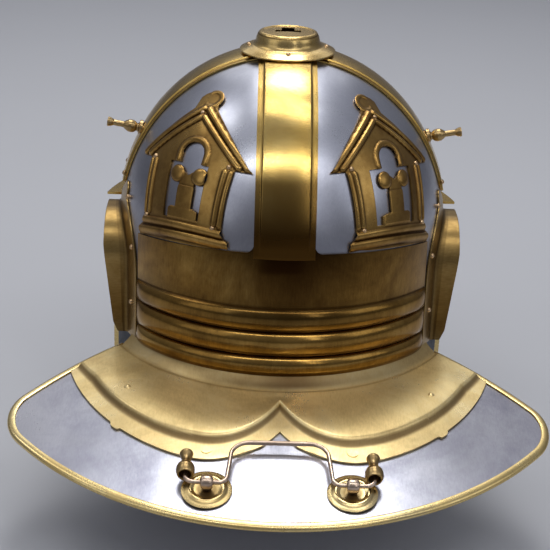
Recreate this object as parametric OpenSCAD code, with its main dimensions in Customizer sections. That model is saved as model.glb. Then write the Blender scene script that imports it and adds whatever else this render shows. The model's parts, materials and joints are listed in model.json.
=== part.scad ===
// Legionary helmet: steel bowl with a broad neck guard, pierced brass fittings,
// hinged cheek guards and a carrying handle.
// Frame: +Y is the wearer's front, +X the wearer's right, +Z up. The origin is the
// centre of the head opening at brow level, where the wearer's head holds the helmet.

/* [Bowl] */
// Outside width of the steel bowl from ear to ear
bowl_w = 208; // [200:1:214]
// Outside length of the steel bowl from brow to nape
bowl_l = 238; // [230:1:246]
// Height of the crown above the brow rim
crown_h = 130; // [126:1:133]
// Thickness of the steel plate
steel_t = 1.2; // [1:0.1:1.6]

/* [Brass fittings] */
// Width of the crossed crown bands
band_w = 36; // [30:1:38]
// Thickness of the brass sheet
brass_t = 1.1; // [0.9:0.1:1.3]
// Height of the raised middle of the crown bands above the bowl
band_raise = 2.4; // [2:0.1:2.6]
// Height of the three ribs on the nape band
rib_h = 4.4; // [3:0.1:5]

/* [Neck guard] */
// Reach of the neck guard, as a multiple of the bowl's plan size
guard_reach = 1.98; // [1.9:0.01:2.05]
// Drop of the neck guard from the nape to its rear edge
guard_drop = 32; // [28:1:36]

/* [Carrying handle] */
// Distance of each handle eye from the middle
eye_x = 40; // [39:0.5:41]
// Radius of the handle wire
wire_r = 1.25; // [1.2:0.01:1.28]

/* [Cheek guards] */
// Length of a cheek guard below its hinge
cheek_h = 122; // [110:1:130]
// Width of a cheek guard at its widest
cheek_w = 76; // [70:1:80]

/* [Hidden] */

steel = [0.55, 0.57, 0.6];
brass = [0.72, 0.55, 0.27];
dark_brass = [0.45, 0.31, 0.14];
leather = [0.33, 0.2, 0.11];

semi_x = bowl_w / 2;
semi_y = bowl_l / 2;
spring_z = 20;                     // level where the dome starts
dome_h = crown_h - spring_z;
gap = 0.15;                        // air left between fixed layers
form_fn = 120;

// Ear opening, in the YZ plane
ear_rear = -44;
ear_front = 16;
ear_top = 28;
ear_r = 26;

// Nape rim: level at the middle, and its fall at the ends of the neck guard
nape_z = -42;
nape_fall = 5;
guard_angle = 62;                  // where the neck guard ends, each side of the rear
guard_sweep = 8;                   // how far its side edges turn back

function nape_rim(a) = nape_z - nape_fall * (1 - cos(a)) / (1 - cos(guard_angle));
function rim_at_y(y) = nape_z - nape_fall * (1 + y / semi_y) / (1 - cos(guard_angle));

// ---------------------------------------------------------------- bowl surface

// Radius of the bowl's plan at height z, as a share of its widest plan
function plan_share(z, g) =
    z <= spring_z ? 1 : sqrt(max(0, 1 - pow((z - spring_z) / (dome_h + g), 2)));

// Point of the surface g outside the bowl, at an angle a from the rear and a height z
function on_bowl(a, z, g) = [
    (semi_x + g) * plan_share(z, g) * sin(a),
    -(semi_y + g) * plan_share(z, g) * cos(a),
    z
];

// Side surface over a place (y, z)
function side_x(y, z, g) =
    (semi_x + g) * sqrt(max(0, pow(plan_share(z, g), 2) - pow(y / (semi_y + g), 2)));

// Outward normal of the bowl at a point
function bowl_normal(p) = unit([
    p[0] / pow(semi_x, 2),
    p[1] / pow(semi_y, 2),
    max(0, p[2] - spring_z) / pow(dome_h, 2)
]);
function unit(v) = v / norm(v);

// Solid inside the surface g outside the bowl. turn moves the poles of the dome.
module form(g, turn = [0, 0, 0], low = -60) {
    translate([0, 0, spring_z])
        scale([semi_x + g, semi_y + g, dome_h + g])
            intersection() {
                rotate(turn) sphere(1, $fn = form_fn);
                translate([0, 0, 1]) cube([4, 4, 2], center = true);
            }
    translate([0, 0, low])
        scale([semi_x + g, semi_y + g, 1])
            cylinder(r = 1, h = spring_z - low, $fn = form_fn);
}

// Layer between g1 and g2 outside the bowl
module layer(g1, g2, turn = [0, 0, 0]) {
    difference() {
        form(g2, turn);
        form(g1, turn, -61);
    }
}

// Turns a shape made along +Z to stand on a point along a direction
module stand(p, n) {
    translate(p)
        rotate([0, acos(n[2]), atan2(n[1], n[0])])
            children();
}

// ---------------------------------------------------------------- curved sheets

// Closed sheet between two grids of points, outside and inside
module sheet(outer, inner) {
    n = len(outer);
    m = len(outer[0]);
    points = [for (grid = [outer, inner]) for (row = grid) for (p = row) p];
    faces = concat(
        [for (i = [0:n - 2]) for (j = [0:m - 2]) for (h = [0, 1])
            h == 0 ? [i * m + j, (i + 1) * m + j, i * m + j + 1]
                   : [(i + 1) * m + j, (i + 1) * m + j + 1, i * m + j + 1]],
        [for (i = [0:n - 2]) for (j = [0:m - 2]) for (h = [0, 1])
            h == 0 ? [n * m + i * m + j, n * m + i * m + j + 1, n * m + (i + 1) * m + j]
                   : [n * m + (i + 1) * m + j, n * m + i * m + j + 1,
                      n * m + (i + 1) * m + j + 1]],
        [for (i = [0:n - 2]) for (j = [0, m - 1]) for (h = [0, 1])
            edge_face(i * m + j, (i + 1) * m + j, n * m, h, j == 0)],
        [for (j = [0:m - 2]) for (i = [0, n - 1]) for (h = [0, 1])
            edge_face(i * m + j, i * m + j + 1, n * m, h, i != 0)]
    );
    polyhedron(points, faces);
}
function edge_face(a, b, k, h, flip) =
    let (f = h == 0 ? [a, b, b + k] : [a, b + k, a + k])
    flip ? [f[0], f[2], f[1]] : f;

// Solid of one section along a row of sections. caps lists the convex pieces of its ends.
module swept(rows, caps) {
    n = len(rows);
    m = len(rows[0]);
    points = [for (row = rows) for (p = row) p];
    faces = concat(
        [for (i = [0:n - 2]) for (j = [0:m - 1]) for (h = [0, 1])
            let (k = (j + 1) % m)
            h == 0 ? [i * m + j, i * m + k, (i + 1) * m + j]
                   : [i * m + k, (i + 1) * m + k, (i + 1) * m + j]],
        [for (cap = caps) [for (j = [len(cap) - 1:-1:0]) cap[j]]],
        [for (cap = caps) [for (j = cap) (n - 1) * m + j]]
    );
    polyhedron(points, faces);
}

// ---------------------------------------------------------------- rivets

module rivet(r = 2.1, h = 1.3, shank = 2.7) {
    ball = (r * r + h * h) / (2 * h);
    intersection() {
        translate([0, 0, h - ball]) sphere(ball, $fn = 32);
        cylinder(r = r, h = h + 1, $fn = 32);
    }
    translate([0, 0, -shank]) cylinder(r = 1.1, h = shank + 0.2, $fn = 24);
}

module flat_rivet(r, h, shank) {
    cylinder(r = r, h = h, $fn = 32);
    translate([0, 0, -shank]) cylinder(r = 1.1, h = shank + 0.1, $fn = 24);
}

module both_sides() {
    children();
    mirror([1, 0, 0]) children();
}

// ---------------------------------------------------------------- bowl

module ear_outline(g) {
    w = ear_front - ear_rear + 2 * g;
    r = ear_r + g;
    translate([ear_rear - g, -90]) square([w, 90 + ear_top + g - r]);
    translate([ear_rear - g + r, -90]) square([w - 2 * r, 90 + ear_top + g]);
    for (y = [ear_rear - g + r, ear_front + g - r])
        translate([y, ear_top + g - r]) circle(r, $fn = 72);
}

// Extrudes an outline drawn in the YZ plane along X
module across(x1, x2) {
    translate([x1, 0, 0])
        rotate([90, 0, 90])
            linear_extrude(x2 - x1) children();
}

module below_rim(lift) {
    far = 160;
    polygon([
        [-far, rim_at_y(-far) + lift], [ear_rear + 1, rim_at_y(ear_rear + 1) + lift],
        [ear_rear + 1, lift], [far, lift], [far, -100], [-far, -100]
    ]);
}

module bowl() color(steel)
    difference() {
        layer(-steel_t, 0);
        across(-150, 150) below_rim(0.1);
        across(-150, 150) ear_outline(0);
        translate([0, 0, crown_h - 5]) cylinder(r = 5, h = 10, $fn = 40);
    }

// ---------------------------------------------------------------- neck guard

function guard_z(a, q) =
    nape_rim(a) - (guard_drop - 0.64 * guard_drop * pow(a / guard_angle, 2)) * (q - 1);

// Point of the guard's top, h above it. u runs from side to side, -1 to 1, and q is the
// distance out as a multiple of the bowl's plan.
function guard_point(u, q, h) =
    let (a = u * (guard_angle - guard_sweep * (q - 1)))
    [semi_x * q * sin(a), -semi_y * q * cos(a), guard_z(a, q) + h];

// Level of the guard's top over a place in plan
function guard_level(p) =
    let (q = norm([p[0] / semi_x, p[1] / semi_y]), a = atan2(p[0] / semi_x, -p[1] / semi_y))
    guard_z(a, q);

corner_u = 0.87;
corner_q = guard_reach - 0.2;
function guard_edge(u) =
    abs(u) <= corner_u ? guard_reach
    : corner_q + 0.2 * sqrt(max(0, 1 - pow((abs(u) - corner_u) / (1 - corner_u), 2)));

// Places across the guard, closer together at the rounded corners
function spread(s) = sign(s) * (1 - pow(1 - abs(s), 1.5));
guard_steps = [for (i = [-20:20]) spread(i / 20)];
guard_inner = 1.012;
eye_y = -209.6;
eye_z = -66.6;
guard_tilt = 15.2;

module neck_guard() color(steel)
    difference() {
        sheet(
            [for (u = guard_steps) [for (t = [0:0.125:1])
                guard_point(u, guard_inner + t * (guard_edge(u) - guard_inner), 0)]],
            [for (u = guard_steps) [for (t = [0:0.125:1])
                guard_point(u, guard_inner + t * (guard_edge(u) - guard_inner), -steel_t)]]
        );
        for (x = [-eye_x, eye_x])
            on_guard() translate([x, 0, -8]) cylinder(r = 2.2, h = 12, $fn = 32);
    }

// Local frame on the guard at the middle of the handle's eyes, +Y towards the bowl
module on_guard() {
    translate([0, eye_y, eye_z])
        rotate([guard_tilt, 0, 0])
            children();
}

// The guard's free edge from root to root
binding_root = 1.09;
side_steps = [for (i = [0:7]) binding_root + i * (corner_q - binding_root) / 8];
function edge_path(h) = concat(
    [for (q = side_steps) guard_point(-1, q, h)],
    [for (u = guard_steps) guard_point(u, guard_edge(u), h)],
    [for (i = [7:-1:0]) guard_point(1, side_steps[i], h)]
);

// U-shaped section of the binding: [outward, up] from the edge of the plate
lip = 3.4;
binding_section = [
    [-lip, gap], [-lip, gap + 0.9], [0.4, gap + 0.9], [1.2, 0.3], [1.5, -0.6],
    [1.2, -1.5], [0.4, -steel_t - gap - 0.9], [-lip, -steel_t - gap - 0.9],
    [-lip, -steel_t - gap], [gap, -steel_t - gap], [gap, gap]
];
binding_caps = [[0, 1, 2, 10], [10, 2, 3, 4, 9], [9, 4, 5, 6], [9, 6, 7, 8]];

module guard_binding() color(brass) {
    path = edge_path(0);
    n = len(path);
    swept([for (i = [0:n - 1])
        let (
            t = unit(path[min(n - 1, i + 1)] - path[max(0, i - 1)]),
            out = unit(cross(t, [0, 0, 1]))
        )
        [for (s = binding_section)
            let (p = path[i] + out * s[0])
            [p[0], p[1], guard_level(p) + s[1]]]
    ], binding_caps);
}

// Embossed plate over the inner part of the guard
plate_inner = 1.035;
plate_steps = [for (i = [-22:22]) i / 22];
notch_angle = 10;
// The plate stops short of the binding by the same distance all along its side
side_run = norm([semi_x * cos(guard_angle), semi_y * sin(guard_angle)]);
function plate_span(q) =
    1 - (lip + 0.5) / (side_run * q * (guard_angle - guard_sweep * (q - 1)) * PI / 180);
function plate_edge(a) =
    let (m = abs(a))
    m < 4 ? 1.384 + 0.0255 * m
    : m < 19.5 ? 1.486 + 0.14 * sin(90 * (m - 4) / 15.5)
    : 1.626 - 0.115 * pow((m - 19.5) / 35.3, 1.7);
function ridge_line(a) =
    abs(a) < notch_angle ? 1.21 + 0.21 * pow(abs(a) / notch_angle, 0.8)
    : 1.42 + 0.055 * sin(min(1, (abs(a) - notch_angle) / 44) * 180) - 0.001 * max(0, abs(a) - 30);
emboss_h = 3;
crease_q = 1.11;
// Share of the way to the ridge, or past it, and the height there
function plate_rows(a) =
    let (r = ridge_line(a), e = plate_edge(a), c = min(crease_q, r - 0.06))
    [[plate_inner, 0], [c, 0], [c + 0.35 * (r - c), 0.7 * emboss_h],
     [c + 0.7 * (r - c), emboss_h], [r, 0.8 * emboss_h], [r + 0.035, 0],
     [(r + e) / 2 + 0.02, 0], [e, 0]];

module neck_plate() color(brass) {
    lift = 0.4;
    sheet(
        [for (u = plate_steps) [for (r = plate_rows(u * guard_angle))
            guard_point(u * plate_span(r[0]), r[0], lift + brass_t + r[1])]],
        [for (u = plate_steps) [for (r = plate_rows(u * guard_angle))
            guard_point(u * plate_span(r[0]), r[0], lift + r[1])]]
    );
}

module neck_plate_rivets() color(brass)
    both_sides() {
        stand(guard_point(0.683, 1.345, 3.2), [0.14, -0.22, 0.965]) rivet(2.4, 1.8, 4.6);
        stand(guard_point(0.257, 1.555, brass_t + 0.3), [0.03, -0.26, 0.965])
            flat_rivet(3.2, 0.5, 3);
    }

// ---------------------------------------------------------------- nape band

// Each row: level at the middle, level at the ends, share of the rib height
band_end = 58;
band_top = [38, 28];
rib_rows = [
    [4.3, -2, 0], [0.5, -5, 0.75], [-3.2, -8.5, 1], [-7, -12, 0.75], [-10.7, -15.5, 0],
    [-14.4, -19.5, 0.75], [-18.5, -24, 1], [-22.6, -28.5, 0.75], [-26.3, -32, 0],
    [-29.6, -35.5, 0.75], [-33.2, -38.7, 1], [-36.8, -41.8, 0.75], [-39.8, -44.6, 0]
];
band_rows = concat(
    [for (i = [0:4]) [band_top[0] + (4.3 - band_top[0]) * i / 5,
                      band_top[1] + (-2 - band_top[1]) * i / 5, 0]],
    rib_rows
);
function rib_taper(a) =
    let (s = (band_end - abs(a)) / 9) s >= 1 ? 1 : sqrt(max(0, 1 - pow(1 - s, 2)));
function band_point(a, row, g) =
    on_bowl(a, row[0] + (row[1] - row[0]) * pow(a / band_end, 2),
            g + rib_h * row[2] * rib_taper(a));

module nape_band() color(dark_brass)
    sheet(
        [for (i = [-17:17]) [for (row = band_rows)
            band_point(band_end * i / 17, row, gap + 0.15 + brass_t)]],
        [for (i = [-17:17]) [for (row = band_rows)
            band_point(band_end * i / 17, row, gap + 0.15)]]
    );

// ---------------------------------------------------------------- crown bands

module crown_band(turn) {
    intersection() {
        layer(gap, gap + brass_t, turn);
        children(0);
    }
    intersection() {
        layer(gap + brass_t - 0.1, band_raise, turn);
        children(1);
    }
}

brow_top = 30;
band_edge = 3.2;
// Columns across the band: [place, share of the raised height]
band_columns = [
    [-band_w / 2, 0], [-band_w / 2 + band_edge, 0], [-band_w / 2 + band_edge + 0.5, 1],
    [-band_w / 6, 1], [0, 1], [band_w / 6, 1],
    [band_w / 2 - band_edge - 0.5, 1], [band_w / 2 - band_edge, 0], [band_w / 2, 0]
];
band_steps = 44;

// Point of the surface g outside the bowl on the fore-and-aft line at x, where s runs
// from 0 at the nape band to 1 at the brow band
function crown_point(x, s, g) =
    let (
        k = sqrt(1 - pow(x / (semi_x + g), 2)),
        rear = asin((band_top[0] + 0.3 - spring_z) / (k * (dome_h + g))),
        front = asin((brow_top - spring_z) / (k * (dome_h + g))),
        t = rear + s * (180 - rear - front)
    )
    [x, -(semi_y + g) * k * cos(t), spring_z + (dome_h + g) * k * sin(t)];

module fore_aft_band() color(brass)
    sheet(
        [for (i = [0:band_steps]) [for (c = band_columns)
            crown_point(c[0], i / band_steps,
                        gap + brass_t + c[1] * (band_raise - gap - brass_t))]],
        [for (i = [0:band_steps]) [for (c = band_columns)
            crown_point(c[0], i / band_steps, gap)]]
    );

module cross_band_right() color(brass) {
    edge_w = band_edge;
    x1 = band_w / 2 + 0.3;
    low = ear_top + 16.5;
    crown_band([90, -90, 0]) {
        translate([x1, -band_w / 2, low]) cube([150, band_w, 130]);
        translate([x1, -band_w / 2 + edge_w, low + 4]) cube([150, band_w - 2 * edge_w, 130]);
    }
}

module cross_band_left() mirror([1, 0, 0]) cross_band_right();

module band_rivets() color(brass)
    both_sides()
        for (y = [-13, 13])
            let (p = [side_x(y, 50, band_raise), y, 50])
            stand(p, bowl_normal(p)) rivet(1.8, 1.2, 3.9);

// ---------------------------------------------------------------- brow

module front_of(y) translate([-150, y, -10]) cube([300, 200, 200]);

module brow_band() color(brass)
    intersection() {
        layer(gap, gap + brass_t);
        front_of(29);
        translate([-150, -150, 1]) cube([300, 300, brow_top - 1.3]);
    }

// Stiffening bar that stands out across the brow
guard_bar_z = 20;
guard_bar_d = 17;
module brow_guard() color(brass) {
    intersection() {
        layer(2 * gap + brass_t, 2 * gap + 2 * brass_t);
        front_of(33);
        translate([-150, -150, guard_bar_z - 6]) cube([300, 300, 12]);
    }
    intersection() {
        layer(2 * gap + brass_t + 0.5, guard_bar_d);
        front_of(33);
        translate([-150, -150, guard_bar_z - 0.8]) cube([300, 300, 1.6]);
    }
}

module brow_guard_rivets() color(brass)
    for (a = [112, 145, 180, 215, 248])
        let (z = guard_bar_z + 3.6)
        stand(on_bowl(a, z, 2 * gap + 2 * brass_t), bowl_normal(on_bowl(a, z, 0)))
            rivet(1.5, 1.1, 4);

// ---------------------------------------------------------------- crest fittings

boss_z = crown_h + 0.2;
boss_h = 12;
module crest_boss() color(brass)
    difference() {
        translate([0, 0, boss_z])
            rotate_extrude($fn = 96)
                polygon([
                    [0, boss_h - 1.6], [15, boss_h - 1.6], [18, boss_h - 4.6],
                    [18.6, 2.6], [29.8, -0.9], [30.2, 0.1], [22.5, 3.6], [20.3, 5.2],
                    [19.8, boss_h - 4.2], [18.6, boss_h - 1.6], [16, boss_h], [0, boss_h]
                ]);
        translate([-8, -2.6, boss_z]) cube([16, 5.2, boss_h + 2]);
        translate([-4, -2.6, boss_z]) cube([8, 12.6, boss_h + 2]);
    }

module boss_rivets() color(brass)
    for (a = [0:90:359])
        rotate([0, 0, a])
            translate([24.5, 0, boss_z + 2.7])
                rotate([0, 12, 0]) rivet(1.5, 1, 6.6);

// Turned stud for a side plume, on a small round washer
stud_z = 76;
stud_tilt = 10;
module crest_stud_right() color(brass) {
    foot = side_x(0, stud_z, band_raise);
    translate([foot - 1, 0, stud_z])
        rotate([0, 90 - stud_tilt, 0]) {
            translate([0, 0, -2.9]) cylinder(r = 2, h = 3.5, $fn = 32);
            rotate_extrude($fn = 64)
                polygon([
                    [0, 0], [5, 0], [5, 1.8], [3, 2.6], [2.4, 3.6], [3.6, 5], [4.1, 7],
                    [3.9, 9], [2.9, 10.8], [2, 12], [0, 12]
                ]);
            cylinder(r = 1.9, h = 20, $fn = 48);
            translate([0, 0, 18.5]) rotate_extrude($fn = 64)
                polygon([[0, 0], [1.9, 0], [2.6, 1.4], [3.1, 3.2], [2.9, 4], [0, 4.4]]);
        }
}

module crest_stud_left() mirror([1, 0, 0]) crest_stud_right();

// ---------------------------------------------------------------- pierced plaques

plaque_turn = 38;
plaque_lean = 30;
plaque_centre = [62, -78, 62];

// The right and left plaques are cut by hand and differ a little: [right, left]
plaque_shift = [-4.5, -7.6];
plaque_scale = [0.93, 0.99];
altar_s = [2.8, -3.4];
altar_in = [13.4, 11];
arch_s = [1.8, -2.7];
door_out = [18.8, 12.5];
base_drop = [3.3, 2.1];

// Maps the upright drawing of the shrine (s across, t up) onto leaning plaque k
function lean(p, k) =
    let (w = plaque_scale[k] * (1 + 0.0025 * (p[1] - 6)))
    [plaque_shift[k] + 0.145 * p[1] + p[0] * w, -25.3 + p[1] - 0.055 * p[0]];
function disc(c, r, n) = [for (i = [0:n - 1]) c + r * [cos(360 * i / n), sin(360 * i / n)]];
module leaning(points, k) polygon([for (p = points) lean(p, k)]);

column_s = 31.5;
eave = [41.5, 43];

module plaque_outline(k) {
    leaning([
        [-37.5, -base_drop[k]], [-30, -3.2], [37.5, -4], [37, 0.5], [33.5, 2.2],
        [31.8, 5], [column_s, 42], [eave[0], eave[1]], [9, 76], [-6.2, 77.6],
        [-eave[0], eave[1]], [-column_s, 42], [-31.8, 5], [-33.5, 2.2], [-37, 0.5]
    ], k);
    leaning(disc([-0.6, 83.7], 6.3, 24), k);
    leaning([[-5, 76], [8.8, 75], [8.5, 80], [8.2, 84], [6.3, 86.5], [2, 89.4]], k);
}

// The doorway: a wide opening with an arch above it
module plaque_opening(k) {
    leaning([[-15.7, 8], [door_out[k], 8], [door_out[k], 41], [-15.7, 41]], k);
    leaning(concat(
        [[arch_s[k] - 7.6, 40], [arch_s[k] + 7.6, 40]],
        [for (a = [0:15:180]) [arch_s[k] + 7.6 * cos(a), 46.6 + 7.6 * sin(a)]]
    ), k);
}

// The altar that stands in the doorway
module plaque_altar(k) {
    c = altar_s[k];
    leaning([
        [c - altar_in[k], 4], [c + 12, 4], [c + 12, 13], [c + 9.4, 14.5], [c + 6, 14.5],
        [c + 5.9, 25], [c + 6.6, 33], [c - 6.6, 33], [c - 5.9, 25], [c - 6, 14.5],
        [c - 7.6, 14.5], [c - altar_in[k], 13]
    ], k);
    for (s = [-8.3, 8.3]) leaning(disc([c + s, 33.8], 5.3, 20), k);
}

// Narrow raised moulding from a to b
module moulding(a, b, k) {
    side = [a[1] - b[1], b[0] - a[0]] / norm(b - a) * 1.2;
    leaning([a + side, a - side, b - side, b + side], k);
}

module plaque_mouldings(k) {
    moulding([-34, -0.9], [34, -1.2], k);
    moulding([-31, 3.6], [31, 3.6], k);
    for (side = [-1, 1]) {
        for (s = [26.4, 30]) moulding([side * s, 9], [side * s, 40], k);
        moulding([side * 1.9, 76.4], [side * 38.3, 44.6], k);
        moulding([side * 1.2, 70.8], [side * 33, 44.5], k);
    }
}

module plaque_prism() {
    translate(plaque_centre)
        rotate([0, 0, plaque_turn])
            rotate([90 - plaque_lean, 0, 0])
                translate([0, 0, -80]) linear_extrude(160) children();
}

module plaque(k) {
    intersection() {
        layer(gap, gap + brass_t);
        plaque_prism() {
            difference() {
                plaque_outline(k);
                plaque_opening(k);
            }
            plaque_altar(k);
        }
    }
    intersection() {
        layer(gap + brass_t - 0.1, gap + brass_t + 1.1);
        plaque_prism() plaque_mouldings(k);
    }
}

module plaque_rear_right() color(dark_brass) plaque(0);
module plaque_rear_left() color(dark_brass) mirror([1, 0, 0]) plaque(1);
module plaque_front_right() mirror([0, 1, 0]) plaque_rear_right();
module plaque_front_left() mirror([0, 1, 0]) plaque_rear_left();

// Point on the bowl under a place of plaque k's drawing
function plaque_spot(p, g, k) =
    let (
        q = lean(p, k),
        n = [sin(plaque_turn) * cos(plaque_lean), -cos(plaque_turn) * cos(plaque_lean),
             sin(plaque_lean)],
        e1 = [cos(plaque_turn), sin(plaque_turn), 0],
        e2 = cross(n, e1),
        o = plaque_centre + q[0] * e1 + q[1] * e2 - [0, 0, spring_z],
        d = [1 / (semi_x + g), 1 / (semi_y + g), 1 / (dome_h + g)],
        os = [o[0] * d[0], o[1] * d[1], o[2] * d[2]],
        ns = [n[0] * d[0], n[1] * d[1], n[2] * d[2]],
        b = os * ns,
        a = ns * ns,
        t = (-b + sqrt(b * b - a * (os * os - 1))) / a
    )
    o + t * n + [0, 0, spring_z];

plaque_fixings = [[2, 73.8], [-27.8, 43.4], [27.8, 42.2], [-26, 6.6], [29, 6.6]];
module plaque_rivets() color(brass)
    for (k = [0, 1])
        mirror([k, 0, 0])
            for (flip = [0, 1])
                mirror([0, flip, 0])
                    for (f = plaque_fixings)
                        let (p = plaque_spot(f, gap + brass_t, k))
                        stand(p, bowl_normal(p)) rivet(1.7, 1.3);

// ---------------------------------------------------------------- ear guards

ear_reach = 113;
wall_t = 1.3;
module ear_leaf() {
    intersection() {
        ear_outline(16);
        translate([-100, -100]) square([86, 200]);
    }
    intersection() {
        ear_outline(9);
        translate([-15, -100]) square([60, 200]);
    }
    translate([-27, 42.5]) circle(6.8, $fn = 48);
}

module ear_guard_right() color(brass) {
    intersection() {
        layer(gap, gap + brass_t);
        difference() {
            across(60, 150) ear_leaf();
            across(50, 160) ear_outline(0.1);
            across(50, 160) below_rim(0.6);
        }
    }
    difference() {
        intersection() {
            across(80, 150) ear_outline(wall_t);
            translate([0, 50, 0]) rotate([90, 0, 0]) linear_extrude(120)
                polygon([
                    [70, -55], [98, -52], [104, -47], [107, -40], [ear_reach, 12],
                    [ear_reach, 60], [70, 60]
                ]);
        }
        across(79, 151) ear_outline(0.1);
        across(79, 151) below_rim(0.6);
        form(gap);
    }
}

module ear_guard_left() mirror([1, 0, 0]) ear_guard_right();

ear_fixings = [[-38.5, 42.5], [-54.5, 15], [-53, -22.4], [20.5, 14]];
module ear_guard_rivets() color(brass)
    both_sides()
        for (f = ear_fixings)
            let (p = [side_x(f[0], f[1], gap + brass_t), f[0], f[1]])
            stand(p, bowl_normal(p)) rivet(1.8, 1.4);

// ---------------------------------------------------------------- handle

eye_h = 6.3;
eye_len = 7;
pin_r = 1.9;
module handle_washer(x) color(brass)
    on_guard() translate([x, 0, 0])
        rotate_extrude($fn = 96)
            polygon([
                [2.1, 0.2], [4, 0.2], [7.5, 0.5], [9.5, 1.3], [11, 0.5], [14, 0.1],
                [14.2, 0.9], [11.2, 1.4], [9.5, 2.2], [7.3, 1.4], [4, 1], [2.1, 1]
            ]);

module handle_washer_left() handle_washer(-eye_x);
module handle_washer_right() handle_washer(eye_x);

module split_pin(x) color(brass)
    on_guard() translate([x, 0, 0]) {
        difference() {
            union() {
                translate([-eye_len / 2, 0, eye_h]) rotate([0, 90, 0])
                    cylinder(r = 3.3, h = eye_len, $fn = 48);
                translate([-2.6, -1.3, 1.1]) cube([5.2, 2.6, 3]);
            }
            translate([-eye_len, 0, eye_h]) rotate([0, 90, 0])
                cylinder(r = wire_r + 0.07, h = 2 * eye_len, $fn = 48);
        }
        translate([0, 0, -5.4]) cylinder(r = pin_r, h = 7, $fn = 32);
        for (s = [-1, 1])
            translate([0, 0, -4.2]) rotate([0, s * 90, 0])
                translate([-0.9, -1.2, 0]) cube([1.8, 2.4, 9]);
    }

module split_pin_left() split_pin(-eye_x);
module split_pin_right() split_pin(eye_x);

// The handle in its own plane: origin on the hinge axis, +Y towards the grip
handle_rest = -1;
grip_y = 32.6;
grip_r = 1.35;
grip_half = 18;
leg_x = 29;
finial_x = 52;
bend = 5;
shoulder = 8;
module in_handle() on_guard() translate([0, 0, eye_h]) rotate([handle_rest, 0, 0]) children();

module wire_bend(c, r, from, angle)
    translate(c) rotate([0, 0, from]) rotate_extrude(angle = angle, $fn = 48)
        translate([r, 0]) circle(wire_r, $fn = 24);

module handle_bar() color(brass)
    in_handle() {
        translate([-grip_half, grip_y, 0]) rotate([0, 90, 0])
            cylinder(r = grip_r, h = 2 * grip_half, $fn = 40);
        both_sides() {
            translate([grip_half, grip_y, 0]) rotate([0, 90, 0])
                cylinder(r1 = grip_r, r2 = wire_r, h = leg_x - shoulder - grip_half, $fn = 40);
            wire_bend([leg_x - shoulder, grip_y - shoulder, 0], shoulder, 0, 90);
            translate([leg_x, bend, 0]) rotate([-90, 0, 0])
                cylinder(r = wire_r, h = grip_y - shoulder - bend, $fn = 32);
            wire_bend([leg_x + bend, bend, 0], bend, 180, 90);
            translate([leg_x + bend, 0, 0]) rotate([0, 90, 0])
                cylinder(r = wire_r, h = finial_x - leg_x - 2 * bend, $fn = 32);
            wire_bend([finial_x - bend, bend, 0], bend, 270, 90);
        }
    }

module handle_finial_right() color(brass)
    in_handle()
        translate([finial_x, bend, 0]) rotate([-90, 0, 0])
            rotate_extrude($fn = 64)
                polygon([
                    [0, 0], [3.2, 0], [4.3, 0.7], [5.2, 3], [5.3, 5], [4.6, 7.2],
                    [3.2, 9.4], [2.6, 11.4], [2.7, 13.4], [3.3, 15.2], [3.8, 16.6],
                    [3.8, 17.6], [3, 18.2], [0, 18.2]
                ]);

module handle_finial_left() mirror([1, 0, 0]) handle_finial_right();

// ---------------------------------------------------------------- cheek guards

hinge_y = 45;
hinge_turn = atan2(-semi_x * hinge_y / (semi_y * semi_y) /
                   sqrt(1 - pow(hinge_y / semi_y, 2)), 1);
hinge_out = 3.6;
hinge_z = -3.6;
hinge_r = 2.2;
hinge_pin_r = 1;
hinge_half = 18;
hinge_point = [side_x(hinge_y, 0, hinge_out), hinge_y, hinge_z];

// Local frame on the hinge: +Y along the pin towards the front, +X outwards
module on_hinge() translate(hinge_point) rotate([0, 0, -hinge_turn]) children();

// The cheek guard hangs with its middle of mass under the pin
cheek_hang = -2.9;
module in_cheek() on_hinge() rotate([0, cheek_hang, 0]) children();

module knuckles(from, bore) {
    difference() {
        for (y = [from:12:hinge_half - 1])
            translate([0, y + 0.15, 0]) rotate([-90, 0, 0])
                cylinder(r = hinge_r, h = 5.7, $fn = 40);
        translate([0, -hinge_half - 1, 0]) rotate([-90, 0, 0])
            cylinder(r = bore, h = 2 * hinge_half + 2, $fn = 40);
    }
}

module hinge_leaf_right() color(brass)
    on_hinge() {
        knuckles(-hinge_half, hinge_pin_r + 0.06);
        for (y = [-hinge_half:12:hinge_half - 1])
            translate([-2.3, y + 0.15, 1]) cube([1.2, 5.7, 13]);
        translate([-2.3, -hinge_half + 0.15, 5]) cube([1.2, 2 * hinge_half - 0.3, 9]);
    }

module hinge_rivets_right() color(brass)
    on_hinge()
        for (y = [-13, 13])
            translate([-1.1, y, 9.5]) rotate([0, 90, 0]) rivet(1.7, 1.2, 3.4);

module cheek_hinge_right() color(brass)
    in_cheek() {
        knuckles(-hinge_half + 6, hinge_pin_r + 0.06);
        for (y = [-hinge_half + 6:12:hinge_half - 1])
            translate([-0.6, y + 0.15, -6]) cube([1.2, 5.7, 5]);
        translate([-0.6, -hinge_half + 0.15, -14]) cube([1.2, 2 * hinge_half - 0.3, 9]);
    }

module cheek_pin_right() color(steel)
    in_cheek() {
        translate([0, -hinge_half - 1.2, 0]) rotate([-90, 0, 0])
            cylinder(r = hinge_pin_r, h = 2 * hinge_half + 2.4, $fn = 32);
        for (y = [-hinge_half - 2, hinge_half + 1.2])
            translate([0, y, 0]) rotate([-90, 0, 0]) cylinder(r = 1.7, h = 0.9, $fn = 32);
    }

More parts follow.
